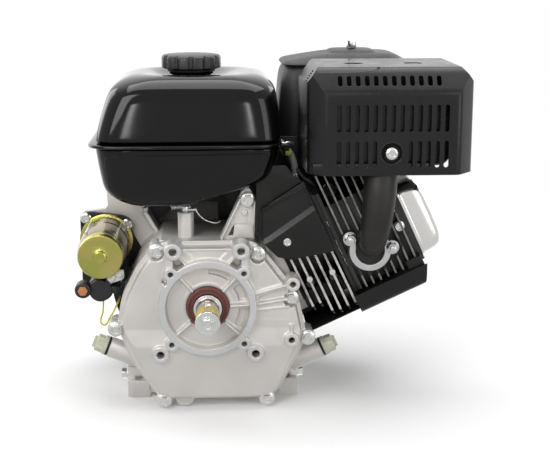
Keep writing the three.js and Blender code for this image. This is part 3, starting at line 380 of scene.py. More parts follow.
def bridged(rings, matrix=None, looped=False):
    """A skin through rings of as many points each, capped at its ends or closed on itself."""
    count = len(rings[0])
    points = [p for ring in rings for p in ring]
    faces = []
    for i in range(len(rings) if looped else len(rings) - 1):
        here, there = i * count, (i + 1) % len(rings) * count
        for j in range(count):
            k = (j + 1) % count
            faces.append((here + j, here + k, there + k, there + j))
    if not looped:
        faces.append(tuple(range(count)))
        faces.append(tuple(range((len(rings) - 1) * count, len(rings) * count)))
    return from_faces(points, faces, matrix)


def circle_points(radius, sides, centre=(0, 0)):
    return [(centre[0] + radius * math.cos(2 * math.pi * i / sides),
             centre[1] + radius * math.sin(2 * math.pi * i / sides)) for i in range(sides)]


def frame_along(direction):
    """A rotation that takes +Z to the given direction."""
    turn = Vector((0, 0, 1)).rotation_difference(Vector(direction).normalized())
    return turn.to_matrix().to_4x4()


def lathe(profile, origin, direction, sides=64, closed=False):
    """A profile of (radius, distance) pairs turned round an axis through origin."""
    place = Matrix.Translation(Vector(origin)) @ frame_along(direction)
    rings = [[(x, y, at) for x, y in circle_points(max(radius, 0.01), sides)]
             for radius, at in profile]
    return bridged(rings, place, looped=closed)


def turned(profile, sides=96, at=(0, 0), closed=True):
    """A profile of (radius, Y) pairs turned round the Y axis, or an axis beside it."""
    return lathe(profile, (at[0], 0, at[1]), (0, 1, 0), sides, closed)


def rod(start, end, radius, end_radius=None, sides=48):
    start, end = Vector(start), Vector(end)
    length = (end - start).length
    return lathe([(radius, 0), (end_radius or radius, length)], start, end - start, sides)


def rod_y(centre, depth, radius, end_radius=None, sides=48):
    return rod((centre[0], depth[0], centre[1]), (centre[0], depth[1], centre[1]), radius,
               end_radius, sides)


def prism(axis, outline, low, high, matrix=None):
    """A flat outline given a thickness along one axis."""
    order = {"x": lambda u, v, w: (w, u, v), "y": lambda u, v, w: (u, w, v),
             "z": lambda u, v, w: (u, v, w)}[axis]
    return bridged([[order(u, v, w) for u, v in outline] for w in (low, high)], matrix)


def block(x, y, z, matrix=None):
    corners = [(x[0], y[0]), (x[1], y[0]), (x[1], y[1]), (x[0], y[1])]
    return prism("z", corners, *z, matrix)


def rounded(corners, radius, steps=6):
    """A polygon whose corners are rounded off."""
    points = []
    for i, corner in enumerate(corners):
        here = Vector(corner)
        ends = []
        for other in (corners[i - 1], corners[(i + 1) % len(corners)]):
            step = Vector(other) - here
            ends.append(here + step.normalized() * min(radius, step.length * 0.42))
        for j in range(steps + 1):
            t = j / steps
            points.append(tuple(ends[0] * (1 - t) ** 2 + here * 2 * t * (1 - t) + ends[1] * t * t))
    return points


def round_rectangle(x, y, radius, steps=5):
    """A rectangle with true round corners, always with the same number of points."""
    radius = min(radius, (x[1] - x[0]) / 2 - 0.01, (y[1] - y[0]) / 2 - 0.01)
    centres = [(x[1] - radius, y[1] - radius, 0), (x[0] + radius, y[1] - radius, 90),
               (x[0] + radius, y[0] + radius, 180), (x[1] - radius, y[0] + radius, 270)]
    points = []
    for cx, cy, start in centres:
        for j in range(steps + 1):
            angle = math.radians(start + 90 * j / steps)
            points.append((cx + radius * math.cos(angle), cy + radius * math.sin(angle)))
    return points


def loft(sections, matrix=None, axis="z"):
    """A closed skin through rounded rectangles given as (height, x range, y range, radius)."""
    order = {"x": lambda u, v, w: (w, u, v), "z": lambda u, v, w: (u, v, w)}[axis]
    rings = [[order(u, v, height) for u, v in round_rectangle(x, y, radius)]
             for height, x, y, radius in sections]
    return bridged(rings, matrix)


def tube(points, radius, resolution=10, girth=None):
    """A smooth round bar through the given points, with closed ends. Girth scales each point."""
    curve = bpy.data.curves.new("piece", "CURVE")
    curve.dimensions = "3D"
    curve.bevel_depth = radius * MM
    curve.bevel_resolution = resolution
    curve.resolution_u = 12
    curve.use_fill_caps = True
    spline = curve.splines.new("BEZIER")
    spline.bezier_points.add(len(points) - 1)
    for knot, point, width in zip(spline.bezier_points, points, girth or [1] * len(points)):
        knot.co, knot.radius = to_frame(point), width
        knot.handle_left_type = knot.handle_right_type = "AUTO"
    source = new_object(curve)
    mesh = bpy.data.meshes.new_from_object(
        source.evaluated_get(bpy.context.evaluated_depsgraph_get()))
    bpy.data.objects.remove(source)
    return merged(new_object(mesh))


def merged(piece, distance=1e-6):
    with edited(piece.data) as work:
        bmesh.ops.remove_doubles(work, verts=work.verts, dist=distance)
        bmesh.ops.recalc_face_normals(work, faces=work.faces)
    return piece


def copy_of(node):
    """A new piece that starts from a CAD node's own shape."""
    return merged(new_object(frame["nodes"][node].data.copy()))


def bake(piece):
    """Applies the modifiers of a piece to its mesh."""
    bpy.context.view_layer.update()
    mesh = bpy.data.meshes.new_from_object(
        piece.evaluated_get(bpy.context.evaluated_depsgraph_get()))
    piece.modifiers.clear()
    piece.data = mesh
    return piece


def carve(base, joined=(), removed=(), kept=()):
    """Joins shapes to base, cuts others away and keeps what lies inside the last ones."""
    tools = []
    for operation, group in (("UNION", joined), ("DIFFERENCE", removed), ("INTERSECT", kept)):
        for tool in group:
            step = base.modifiers.new(operation, "BOOLEAN")
            step.operation, step.solver, step.object = operation, "MANIFOLD", tool
            tools.append(tool)
    bake(base)
    for tool in tools:
        bpy.data.objects.remove(tool)
    return base


def joined(*pieces):
    """Several pieces as one object of separate shells."""
    work = bmesh.new()
    for piece in pieces:
        work.from_mesh(piece.data)
        bpy.data.objects.remove(piece)
    mesh = bpy.data.meshes.new("piece")
    work.to_mesh(mesh)
    work.free()
    return new_object(mesh)


def soften(piece, voxel, rounds, factor=0.5):
    """Turns sharp joins into the small fillets of a casting."""
    remesh = piece.modifiers.new("Remesh", "REMESH")
    remesh.mode, remesh.voxel_size = "VOXEL", voxel * MM
    smooth = piece.modifiers.new("Smooth", "SMOOTH")
    smooth.factor, smooth.iterations = factor, rounds
    return bake(piece)


def smooth_shaded(piece, angle=40):
    """Smooth shading that stays crisp across edges sharper than the angle."""
    all_smooth(piece)
    with edited(piece.data) as work:
        for edge in work.edges:
            paired = len(edge.link_faces) == 2
            edge.smooth = paired and edge.calc_face_angle(0) < math.radians(angle)
    return piece


def bevel(piece, width, segments, angle, harden=False):
    edge = piece.modifiers.new("Bevel", "BEVEL")
    edge.width, edge.segments, edge.limit_method = width * MM, segments, "ANGLE"
    edge.angle_limit, edge.harden_normals = math.radians(angle), harden


def chamfered(piece, width, segments=2, angle=30):
    bevel(piece, width, segments, angle)
    return bake(piece)


def subdivided(piece, levels=2):
    step = piece.modifiers.new("Subdivision", "SUBSURF")
    step.levels = step.render_levels = levels
    return bake(piece)


SLOTS = {"washer_zinc": "zinc_plate", "copper": "yellow_zinc", "starter_can": "yellow_zinc",
         "guard_black": "satin_black", "pipe_black": "satin_black", "hose_grey": "black_plastic",
         "yellow_wire": "black_plastic", "rope": "black_plastic", "black_rubber": "seal_rubber"}


def settle(piece, name, finish, slot=None, body="root", stands_for=None, shade=True):
    """Names a finished piece, gives it its finish and seats it on its body."""
    piece.name = name
    if shade:
        smooth_shaded(piece)
    piece.data.materials.clear()
    piece.data.materials.append(finishes[finish])
    slot or SLOTS.get(finish, finish)
    if stands_for:
        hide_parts(stands_for)
    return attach(piece, body)


# ---- fasteners
def bolt_head(at, direction, across=6.4, height=6, flange=8.4, stud=0):
    """A flanged hexagon head with a dished top, or a nut round a stud when stud is given."""
    place = Matrix.Translation(Vector(at)) @ frame_along(direction)
    sides = 48
    corners = []
    for i in range(sides):
        angle = 2 * math.pi * i / sides
        corners.append(across / math.cos((angle % (math.pi / 3)) - math.pi / 6)
                       * math.cos(math.pi / 6))

    def ring(scale, high, limit=99.0):
        return [(min(c, limit) * scale * math.cos(2 * math.pi * i / sides),
                 min(c, limit) * scale * math.sin(2 * math.pi * i / sides), high)
                for i, c in enumerate(corners)]

    def circle(radius, high):
        return [(x, y, high) for x, y in circle_points(radius, sides)]

    rings = [circle(flange, 0), circle(flange, 1.1), circle(flange * 0.92, 1.6), ring(1, 2.2),
             ring(1, height - 0.8), ring(1, height, across * 0.93)]
    if stud:
        rings += [circle(stud * 1.05, height), circle(stud, height + 0.2),
                  circle(stud, height + stud), circle(stud * 0.8, height + stud * 1.15)]
    else:
        rings += [circle(across * 0.66, height), circle(across * 0.56, height - 1.0)]
    return bridged(rings, place)


def seated_bolt(at, seat, shank, radius, *head, stud=0):
    """A bolt or stud along Y whose head faces the front."""
    return joined(bolt_head((at[0], seat, at[1]), (0, -1, 0), *head, stud=stud),
                  rod_y(at, shank, radius))


def xz(node):
    """The middle of a CAD node seen from the front."""
    middle = centre(node)
    return middle.x, middle.z


COVER_BOLTS = [(-62, 68), (62, 63), (103, 7), (124, -45), (73, -124), (-56, -124), (-114, -30)]


def fasteners():
    face = 20  # seat of the case bolts, behind the plane of the mounting bosses
    heads = [bolt_head((x, face, z), (0, -1, 0), 6.2, 6.5, 8.8) for x, z in COVER_BOLTS]
    settle(joined(*heads), "cover_bolts", "zinc_plate")

    bolt = seated_bolt(xz("bracket_bolt"), 31.2, (31, 46), 4, 6.9, 6.4, 8.9)
    settle(bolt, "tank_bracket_bolt", "zinc_plate", stands_for="bracket_bolt")
    bolt = seated_bolt(xz("muffler_cover_bolt"), -10.4, (-10, 6), 3.4, 5.6, 5.6, 7.2)
    settle(bolt, "heat_guard_bolt", "zinc_plate", stands_for="muffler_cover_bolt")

    washer = turned([(5, -60.2), (12, -60.2), (14.2, -59.8), (15, -58.6), (15, -57.4), (5, -57.4)],
                    72)
    spring = turned([(5, -62), (9, -62), (9, -60.2), (5, -60.2)], 48)
    bolt = seated_bolt((0, 0), -61.8, (-62, -40), 4.8, 7, 4.2, 7.4)
    settle(joined(washer, spring, bolt), "end_bolt", "zinc_plate", body="crank",
           stands_for="shaft_end_bolt")

    for side in ("left", "right"):
        node = "exhaust_nut_" + side
        nut = seated_bolt(xz(node), 21.3, (21, 38), 3.9, 6.6, 6.6, 7.4, stud=3.9)
        settle(nut, "flange_nut_" + side, "washer_zinc", stands_for=node)

    for side, sign in (("left", -1), ("right", 1)):
        spot = span("drain_bolt_" + side)
        x = (spot[1].x if sign < 0 else spot[0].x) + sign * 10
        head = bolt_head((x, 81, -109), (sign, 0, 0), 7.4, 8.5, 10)
        shank = rod((x - sign * 10, 81, -109), (x + sign * 0.4, 81, -109), 5)
        settle(joined(head, shank), "oil_drain_" + side, "zinc_plate",
               stands_for="drain_bolt_" + side)


# ---- castings
def inset(corners, distance):
    """The same counter-clockwise polygon with every side moved inwards."""
    moved = []
    for i, corner in enumerate(corners):
        here = Vector(corner)
        before = (here - Vector(corners[i - 1])).normalized()
        after = (Vector(corners[(i + 1) % len(corners)]) - here).normalized()
        turn = before.x * after.y - before.y * after.x
        moved.append(tuple(here + (after - before) / turn * distance))
    return moved


CASE = [(-60, -124), (74, -124), (90, -112), (118, -56), (123, -40), (112, 12), (72, 66), (56, 80),
        (-57, 80), (-84, 54), (-106, 10), (-112, -26), (-98, -70), (-68, -114)]
RING = 82.55  # radius of the bolt circle of the output side


def polar(radius, degrees):
    return radius * math.cos(math.radians(degrees)), radius * math.sin(math.radians(degrees))


def rib(start, end, half, low, high, top=None):
    """A straight rib seen from the front, narrower at its crest."""
    start, end = Vector(start), Vector(end)
    side = Vector((end - start).orthogonal()).normalized()
    rings = []
    for y, width in ((high, half * 1.5), (low, top or half * 0.7)):
        rings.append([(p.x, y, p.y) for p in (
            start - side * width, end - side * width, end + side * width, start + side * width)])
    return bridged(rings)


def slot_arc(radius, width, start, end, low, high):
    """A curved groove round the shaft, with round ends."""
    points = [polar(radius + width / 2, start + (end - start) * i / 24) for i in range(25)]
    points += [polar(radius - width / 2, end - (end - start) * i / 24) for i in range(25)]
    return prism("y", points, low, high)


def crankcase_cover():
    bosses = [polar(RING, a) for a in (120, 60, -135, -45)]
    inner = [(-44.4, 43.5), (44.4, 43.5), (-44.4, -45.5), (44.4, -45.5)]
    flange = prism("y", rounded(CASE, 12), 24, 34)
    body_rings = []
    for y, distance in ((33, 4.5), (15, 5.5), (10, 7.5), (7.2, 11), (6, 15)):
        body_rings.append([(x, y, z) for x, z in rounded(inset(CASE, distance), 16 - distance / 2)])
    body = bridged(body_rings)
    ears = [rod_y(b, (20, 34), 10, 10) for b in COVER_BOLTS]
    ears.append(rod_y((-30, -121), (22, 34), 12, 12.6))
    upper_face = [(-1, -52.5), (5.4, -52.5), (10.2, -28), (10.2, 120), (-1, 120)]
    lower_face = [(-1, -52.5), (6, -52.5), (13.5, -130), (-1, -130)]
    carve(body, removed=[prism("x", outline, -150, 150) for outline in (upper_face, lower_face)])
    carve(body, removed=[rod_y(b, (-1, 20), 9.8) for b in COVER_BOLTS])
    carve(flange, joined=[body, *ears, rod_y((-30, -119), (20.8, 30), 7)])

    fields = [
        ([(-26, 71), (-13, 57), (13, 57), (26, 71)], 12),
        ([(-47, 62), (-47, 43), (-39, 42), (-25, 51), (-37, 66)], 21),
        ([(47, 62), (37, 66), (25, 51), (39, 42), (47, 43)], 21),
        ([(64, 62), (63, 20), (92, 28), (99, 31), (80, 62)], 11),
        ([(63, 12), (62, 2), (94, 9), (98, 22)], 13),
        ([(62, -6), (66, -16), (108, -18), (110, -4), (98, 1)], 10.5),
    ]
    sunk = [prism("y", rounded(points, 5), -1, floor) for points, floor in fields]
    carve(flange, removed=sunk)
    ring = turned([(60, 0), (61.5, 24), (40, 24), (40, 0)])
    carve(flange, joined=[
        ring,
        *[rod_y(b, (0, 24), 10.2, 12.2) for b in bosses],
        *[rod_y(h, (0, 22), 8.2, 9.2) for h in inner],
        *[block((x - 9.5, x) if x < 0 else (x, x + 9.5), (3, 22), (z - 30, z))
          for x, z in bosses[:2]],
        rib((52, 14), (102, 28), 1.6, 6.5, 16), rib((56, 2), (100, 9), 1.6, 6.5, 16),
        rib((56, -6), (101, -1), 1.2, 9, 14),
        rib((-36, 66), (-24, 52), 1.6, 5, 20), rib((36, 66), (24, 52), 1.6, 5, 20),
        rod_y((104.5, 27.7), (5, 30), 8.6, 10.5), rod_y((103, -42.7), (2.5, 30), 9, 11),
        rib((103, -34), (103, -24), 1.6, 5, 9),
    ])
    recess = turned([(51.6, -1), (50.2, 11), (30.4, 11), (29.8, -1)])
    carve(flange, removed=[recess, rod_y((0, 0), (-1, 3), 30.5, sides=96)])
    spokes = [rib(polar(27, a), polar(54, a), 1.7, 4, 12) for a in (131, 47, 3, -42, -138)]
    carve(flange, joined=spokes)
    holes = [
        rod_y((0, 0), (-1, 40), 26.05, sides=96),
        slot_arc(44, 6, 52, 88, 5, 15), slot_arc(43.5, 9, 10, 36, 5, 15),
        slot_arc(43.5, 9, -34, -4, 5, 15),
        *[rod_y(b, (-1, 22), 4.9, 4.5) for b in bosses],
        *[rod_y(h, (-1, 20), 3.4, 3.2) for h in inner],
        rod_y((-52, 33), (-1, 16), 3.4), rod_y((104.5, 27.7), (4, 28), 3.8),
        rod_y((103, -42.7), (1, 24), 3.9), rod_y((0, 0), (17, 40), 37, sides=64),
    ]
    cavity = prism("y", inset(CASE, 14), 22, 40)
    carve(flange, removed=[*holes, cavity])
    soften(flange, 0.85, 4)
    settle(flange, "front_cover_casting", "cast_aluminium", stands_for="crankcase_cover",
           shade=False)
    all_smooth(flange)

    gasket = carve(prism("y", rounded(inset(CASE, 0.4), 12), 33.9, 34.35),
                   removed=[prism("y", inset(CASE, 9), 33, 35)])
    settle(gasket, "cover_gasket", "black_rubber")


def oil_seal():
    seal = turned([(26, 3.4), (25.4, 3), (23.4, 3), (22.8, 3.6), (22.2, 5), (20.4, 5), (19.4, 4),
                   (18.4, 4), (17.8, 5.5), (17.8, 11), (26, 11)])
    settle(seal, "shaft_seal", "seal_rubber", stands_for="pto_oil_seal")


def case_details():
    """Small pieces that sit on the case: governor post, spring and rod, breather stub."""
    spring = []
    for i in range(97):
        turn = i / 96
        spring.append((-44 + 24 * turn, 54 + 3 * math.cos(20 * math.pi * turn),
                       116 + 3 * math.sin(20 * math.pi * turn)))
    coil = tube(spring, 0.5, 4)
    settle(coil, "governor_spring", "zinc_plate", shade=False)
    wire = tube([(-14, 54, 113), (-7, 52, 104), (4, 50, 98), (14, 50, 97), (17, 52, 99)], 0.9, 6)
    arm = joined(rod((-26, 54, 110), (-26, 54, 117), 4.2), block((-30, -12), (51, 57), (112, 114)),
                 wire)
    settle(chamfered(arm, 0.3), "governor_arm", "zinc_plate")
    foot = prism("y", rounded([(32, 82), (57, 82), (57, 99), (34, 99)], 1.5), 28.4, 35)
    web = joined(foot, rod_y((46.5, 112.5), (31.4, 35), 3.6, 4.4),
                 rod_y((50.5, 129), (31.2, 35), 9.4, 9.9),
                 rib((17.5, 80), (42, 131), 1.7, 29.5, 35),
                 rib((57, 80), (59, 128), 1.5, 29.5, 35))
    settle(chamfered(web, 0.5), "bracket_ribs", "cast_aluminium")


def node_looks():
    """Every CAD node that stays visible gets fine edges and its own finish."""
    special = {"crankcase": "case_aluminium", "crankshaft_pto_half": "marked_shaft",
               "exhaust_flange": "washer_zinc", "exhaust_pipe": "pipe_black",
               "spark_plug": "ceramic", "muffler_cover": "guard_black",
               "muffler_body": "guard_black"}
    rows = {row["node"]: row["material_slot"] for row in frame["record"]["subparts"]}
    for name, node in frame["nodes"].items():
        node.data.materials.clear()
        node.data.materials.append(finishes[special.get(name, rows[name])])
        all_smooth(node)
        weld = node.modifiers.new("Weld", "WELD")
        weld.merge_threshold = 0.00001
        bevel(node, 0.5, 2, 32, harden=True)


# ---- fuel tank and cap
def fuel_tank():
    low, high = span("fuel_tank")
    rim = (low.z + high.z) / 2 - 4  # height of the seam between the two pressings
    front, back = low.y + 8, high.y - 4
    neck, neck_y = centre("fuel_cap").xy
    cap_seat = span("fuel_cap")[0].z
    shell = [(rim + up, (left, right), (front + step, back - step), radius)
             for up, left, right, step, radius in (
                 (1, -133, 91.5, 0, 28), (5, -133, 91.5, 0, 28), (30, -127.5, 90.5, 4, 30),
                 (58, -118.5, 87.5, 9, 33), (68, -113, 84.5, 14, 38), (77, -99, 74, 26, 42),
                 (81, -84, 60, 42, 40), (80, -68, 38, 58, 34))]
    collar = [(height, (neck - half, neck + half), (neck_y - half, neck_y + half), half - 0.1)
              for height, half in ((rim + 75, 40), (rim + 74, 33), (rim + 75, 30),
                                   (cap_seat + 2, 29))]
    upper = subdivided(loft(shell + collar), 3)

    def pan(skin):
        return subdivided(loft([
            (rim - down, (left, right), (front + step - skin, end), radius)
            for down, left, right, step, end, radius in (
                (1, -133, 91, 0, back, 30), (4, -133, 91, 0, back, 30),
                (18, -131, 88, 1, back - 1, 30), (29, -129.5, 84, 2, back - 2, 30),
                (41, -127, 78, 3, back - 4, 28), (50, -125, 62, 4, back - 8, 26),
                (58, -121, 36, 5, 165, 24), (66, -111, 10, 7, 138, 20),
                (73, -96, -12, 12, 132, 18), (76.5, -82, -28, 22, 122, 14))]), 3)

    panel = rounded([(-121, rim - 11), (-117, rim - 57), (-4, rim - 57), (20, rim - 52),
                     (64, rim - 34), (77, rim - 9)], 9)
    raised = chamfered(carve(pan(1.7), kept=[prism("y", panel, -20, front + 24)]), 1.4, 3, 40)
    seam = loft([
        (rim + up, (low.x + step, high.x - step), (low.y + step, high.y - step), radius)
        for up, step, radius in ((-2.2, 3, 33), (-1.6, 0.6, 35), (0, 0, 35.5), (1.6, 0.6, 35),
                                 (2.2, 3, 33))])
    tank = joined(upper, pan(0), raised, chamfered(seam, 0.4))
    settle(tank, "tank_shell", "gloss_black", stands_for="fuel_tank")


def scalloped(radius, depth, height, sides=192, count=12):
    """A ring with hollows pressed into it."""
    points = []
    for i in range(sides):
        angle = 2 * math.pi * i / sides
        share = max(0.0, math.cos(count * angle)) ** 1.6
        points.append(((radius - depth * share) * math.cos(angle),
                       (radius - depth * share) * math.sin(angle), height))
    return points


def fuel_cap():
    low, high = span("fuel_cap")
    middle = (low + high) / 2
    place = Matrix.Translation((middle.x, middle.y, low.z))
    radius = 37.2
    tall = high.z - low.z
    rings = [scalloped(27, 0, 0.0), scalloped(29.5, 0, 0.3), scalloped(30, 0, 3.2),
             scalloped(34.5, 2.5, 4.0), scalloped(radius, 3.4, 5.2),
             scalloped(radius, 3.6, tall - 4.5), scalloped(radius - 0.8, 3.2, tall - 2.6),
             scalloped(radius - 3, 1.5, tall - 1.2), scalloped(radius - 7, 0, tall - 0.5),
             scalloped(14, 0, tall), scalloped(2, 0, tall)]
    cap = bridged(rings, place)
    settle(cap, "tank_cap", "black_plastic", body="filler_cap", stands_for="fuel_cap")


# ---- exhaust
def heat_guard():
    low, high = span("muffler_cover")
    bolt = xz("muffler_cover_bolt")
    slope_foot, slope_run, slope_rise = 263, 24, 28  # the bevel between front and top
    side_view = [(130, 160), (130, 293), (14, 291), (8, 288), (-10, 263), (-10, 160)]
    plan = [(118, 131), (121, 10), (140, -10), (301, -10), (321, 14), (322, 131)]
    front_view = [(117, 150), (322, 150), (322, 272), (303, 293), (134, 293), (117, 268)]

    def guard(skin):
        def shrunk(points):
            anticlockwise = sum(a[0] * b[1] - b[0] * a[1] for a, b in zip(
                points, points[1:] + points[:1])) > 0
            ordered = points if anticlockwise else points[::-1]
            return rounded(inset(ordered, skin), 5, 4)
        shape = prism("x", shrunk(side_view), 100, 340)
        return carve(shape, kept=[prism("z", shrunk(plan), 155, 300),
                                  prism("y", shrunk(front_view), -20, 140)])

    pitch, half, first = 10.66, 2.75, 157  # of the upright slots

    def slot(x, z, depth=(-14, -6)):
        return prism("y", round_rectangle((x - half, x + half), z, half, 6), *depth)

    slots = [slot(first + i * pitch, (216.5, 249)) for i in range(13)]
    slots += [slot(first + i * pitch, (174, 206)) for i in range(13) if i < 5 or i > 7]
    lean = math.atan2(28, 22)
    for i in range(12):
        place = (Matrix.Translation((158.4 + i * pitch, 0.2, 275.2))
                 @ Matrix.Rotation(lean - math.pi / 2, 4, "X"))
        slots.append(prism("y", round_rectangle((-half, half), (-7, 7), half, 6), -5, 5, place))
    for i in range(5):
        place = (Matrix.Translation((121 + 1.9 * i, 30, 273.9 + 2.8 * i))
                 @ Matrix.Rotation(math.atan2(17, 25), 4, "Y"))
        slots.append(prism("x", round_rectangle((-9, 9), (-0.8, 0.8), 0.7, 4), -4, 4, place))
    wells = (181, 254)  # the two hollows in the top
    slots += [prism("z", round_rectangle((x - 12, x + 12), (52, 66), 7, 8), 285, 296)
              for x in wells]
    shell = carve(guard(0), removed=[
        guard(1.3), block((100, 340), (-20, 140), (140, low.z)),
        block((100, 340), (high.y, 140), (140, 300)), *slots,
        rod_y(bolt, (-14, -6), 13.2)])
    dish = lathe([(13.6, 0), (12.5, 0.4), (10.2, 3.2), (8.5, 3.8), (3.7, 3.8), (3.7, 5.0), (9, 5.0),
                  (11, 4.4), (13.6, 1.3)], (bolt[0], -10, bolt[1]), (0, 1, 0), 64, closed=True)
    cups = [loft([(290.0, (x - 13, x + 13), (51, 67), 8), (288.2, (x - 11, x + 11), (53, 65), 6),
                  (287.2, (x - 11, x + 11), (53, 65), 6)]) for x in wells]

    def on_slope(x, share, lift):
        return (x, -10 + slope_run * share - 0.76 * lift,
                slope_foot + slope_rise * share + 0.65 * lift)

    curve = [(134, 0.72), (152, 0.72), (172, 0.73), (186, 0.75), (198, 0.80), (203, 0.87),
             (207, 1.0)]
    ledge = bridged([[on_slope(x, share, -1), on_slope(x, share, 2.4), on_slope(x, 1.0, 0.3),
                      on_slope(x, 1.0, -1)] for x, share in curve])
    floor = chamfered(block((126, 268), (-7.5, 22), (166.6, 179)), 2)
    liner = block((144, 296), (46, 47), (258, 285))
    guard_piece = joined(shell, dish, *cups, ledge, floor, liner)
    settle(guard_piece, "heat_guard", "guard_black", stands_for="muffler_cover")
    smooth_shaded(guard_piece, 25)


def muffler_can():
    front = span("muffler_body")[0].y
    sections = [
        (0.0, (150, 286), (180.5, 260), 12), (1.6, (145, 291), (175.5, 264), 15),
        (5, (142.4, 293.6), (173, 266.6), 16), (50, (142, 294), (172.5, 267), 16),
        (52, (141.2, 294.8), (171.8, 267.6), 16.5), (54, (142, 294), (172.5, 267), 16),
        (103.5, (142.4, 293.6), (173, 266.6), 16), (107.4, (145, 291), (175.5, 264), 15),
        (109, (150, 286), (180.5, 260), 12),
    ]
    turn = Matrix.Translation((0, front + 4.8, 0)) @ Matrix(
        ((1, 0, 0, 0), (0, 0, 1, 0), (0, 1, 0, 0), (0, 0, 0, 1)))
    can = subdivided(loft(sections, turn), 1)
    outlet = lathe([(9.5, 0), (12, 0), (12, 11), (9.5, 11)], (291, 84, 200), (1, 0, 0), 48,
                   closed=True)
    boss = rod_y((219.8, 191.2), (-4.6, 6), 8.5)
    settle(joined(can, outlet, boss), "muffler_can", "guard_black", stands_for="muffler_body")


EXHAUST = [(201, 28, 73), (201.3, 18, 74.5), (202.5, 9.5, 83), (205, 6.5, 100), (209, 8, 138),
           (211, 14, 166), (211, 14.3, 176)]


PORT = (201, 65)  # middle of the exhaust port, seen from the front


def exhaust():
    pipe = tube(EXHAUST, 20.6, 16, (0.68, 0.72, 0.83, 0.9, 0.97, 1.0, 1.0))
    port = rod_y(PORT, (26.2, 30), 18.4)
    settle(joined(pipe, port), "exhaust_elbow", "pipe_black", stands_for="exhaust_pipe")
    lugs = [rod_y(at, (22.4, 32), 3.6) for at in ((126.5, 29), (154.5, 38))]
    settle(chamfered(joined(*lugs), 0.4), "fin_lugs", "cast_aluminium")
    ring = carve(
        rod_y(PORT, (22.8, 26.4), 25.6, sides=96),
        joined=[rod_y((176, 80), (22.8, 26.4), 8.8), rod_y((228, 69), (22.8, 26.4), 8.8)],
        removed=[rod_y(PORT, (20, 28), 18.2, sides=96),
                 prism("y", [(183, 69), (219, 65), (219, 95), (183, 95)], 20, 28)])
    settle(chamfered(ring, 0.6), "exhaust_ring", "washer_zinc", stands_for="exhaust_flange")


# ---- head and cowls
def valve_cover():
    sections = [(268.4, (38, 146), (-69, 31), 18), (271.2, (38, 146), (-69, 31), 18),
                (271.4, (39.6, 144.4), (-67.6, 29.6), 17), (276, (39.8, 144.2), (-67.5, 29.5), 17),
                (290, (40.5, 143.5), (-67, 29), 18), (297, (43.5, 140.5), (-64, 26), 20),
                (300.6, (50, 134), (-57, 19), 22), (301.2, (62, 122), (-45, 7), 20),
                (301.3, (84, 100), (-22, -16), 2.9)]
    dome = loft(sections, SLOPED, axis="x")
    crease_rings(dome, 2)
    hollow = loft([(266, (43.5, 140.5), (-64, 26), 15), (290, (44.5, 139.5), (-63, 25), 16),
                   (296, (48, 136), (-59, 21), 17), (298, (60, 124), (-47, 9), 16)], SLOPED,
                  axis="x")
    settle(carve(subdivided(dome, 2), removed=[hollow]), "rocker_cover", "chrome",
           stands_for="valve_cover")


def crease_rings(piece, count):
    """Keeps the first rings of a lofted piece sharp when it is subdivided."""
    per_ring = 24
    crease = piece.data.attributes.new("crease_edge", "FLOAT", "EDGE")
    for edge in piece.data.edges:
        a, b = edge.vertices
        if a // per_ring == b // per_ring and a // per_ring < count:
            crease.data[edge.index].value = 1.0


def side_cowl():
    """A pressed plate over the barrel fins, folded back along a rising crease."""
    outline = [(70, 16.3, 76), (86, 16.3, 60), (103, 16.3, 56.5), (156, 16.3, 67),
               (132.5, 16.3, 119), (79.5, 16.3, 81),
               (130.5, 20.6, 124.5), (75.5, 20.6, 85.5),
               (118, 22, 152.5), (66, 22, 119), (66, 20.6, 80)]
    faces = [(0, 1, 2, 3, 4, 5), (5, 4, 6, 7), (7, 6, 8, 9, 10), (0, 5, 7, 10)]
    plate = from_faces(outline, faces)
    thick = plate.modifiers.new("Solidify", "SOLIDIFY")
    thick.thickness, thick.offset = 1.4 * MM, 0
    bake(plate)
    chamfered(plate, 1.6, 4, 8)
    lips = []
    for a, b, out in (((66.4, 118), (119, 145.4), (-0.6, 1.2)),
                      ((119.2, 145), (155.2, 67.5), (1.2, 0.5)),
                      ((65.2, 81), (65.2, 118), (1.2, 0))):
        lips.append(prism("y", [a, b, (b[0] + out[0], b[1] + out[1]),
                                (a[0] + out[0], a[1] + out[1])], 16.6, 24))
    settle(joined(plate, *lips), "side_cowl", "satin_black", stands_for="side_shroud")
    screw = seated_bolt((98, 79), 15.4, (15.2, 24), 3, 4.4, 2.9, 5.2)
    settle(screw, "cowl_screw", "zinc_plate")


def head_extras():
    """A head bolt beside the exhaust and the thin guide plate along the end of the head."""
    bolt = seated_bolt((237, 94), 31, (30, 46), 3.8, 5.6, 5, 7)
    settle(bolt, "head_side_bolt", "zinc_plate")

    outer = [(17, -70), (17, -83), (17.6, -87.5), (19.6, -91), (23, -93.6), (28, -94.8),
             (145.4, -94.8), (145.4, -70)]
    inner = [(143.9, -70), (143.9, -93.3), (28.3, -93.3), (23.9, -92.3), (20.9, -90), (19.2, -87),
             (18.5, -83), (18.5, -70)]
    trough = prism("x", outer + inner, 168.4, 290, SLOPED)
    carve(trough, removed=[block((271.5, 330), (0, 160), (0, 90))])
    corner = chamfered(block((243, 264), (21, 60), (-74, -58), SLOPED), 1)
    settle(joined(trough, corner), "lower_shroud", "satin_black", stands_for="head_shroud")


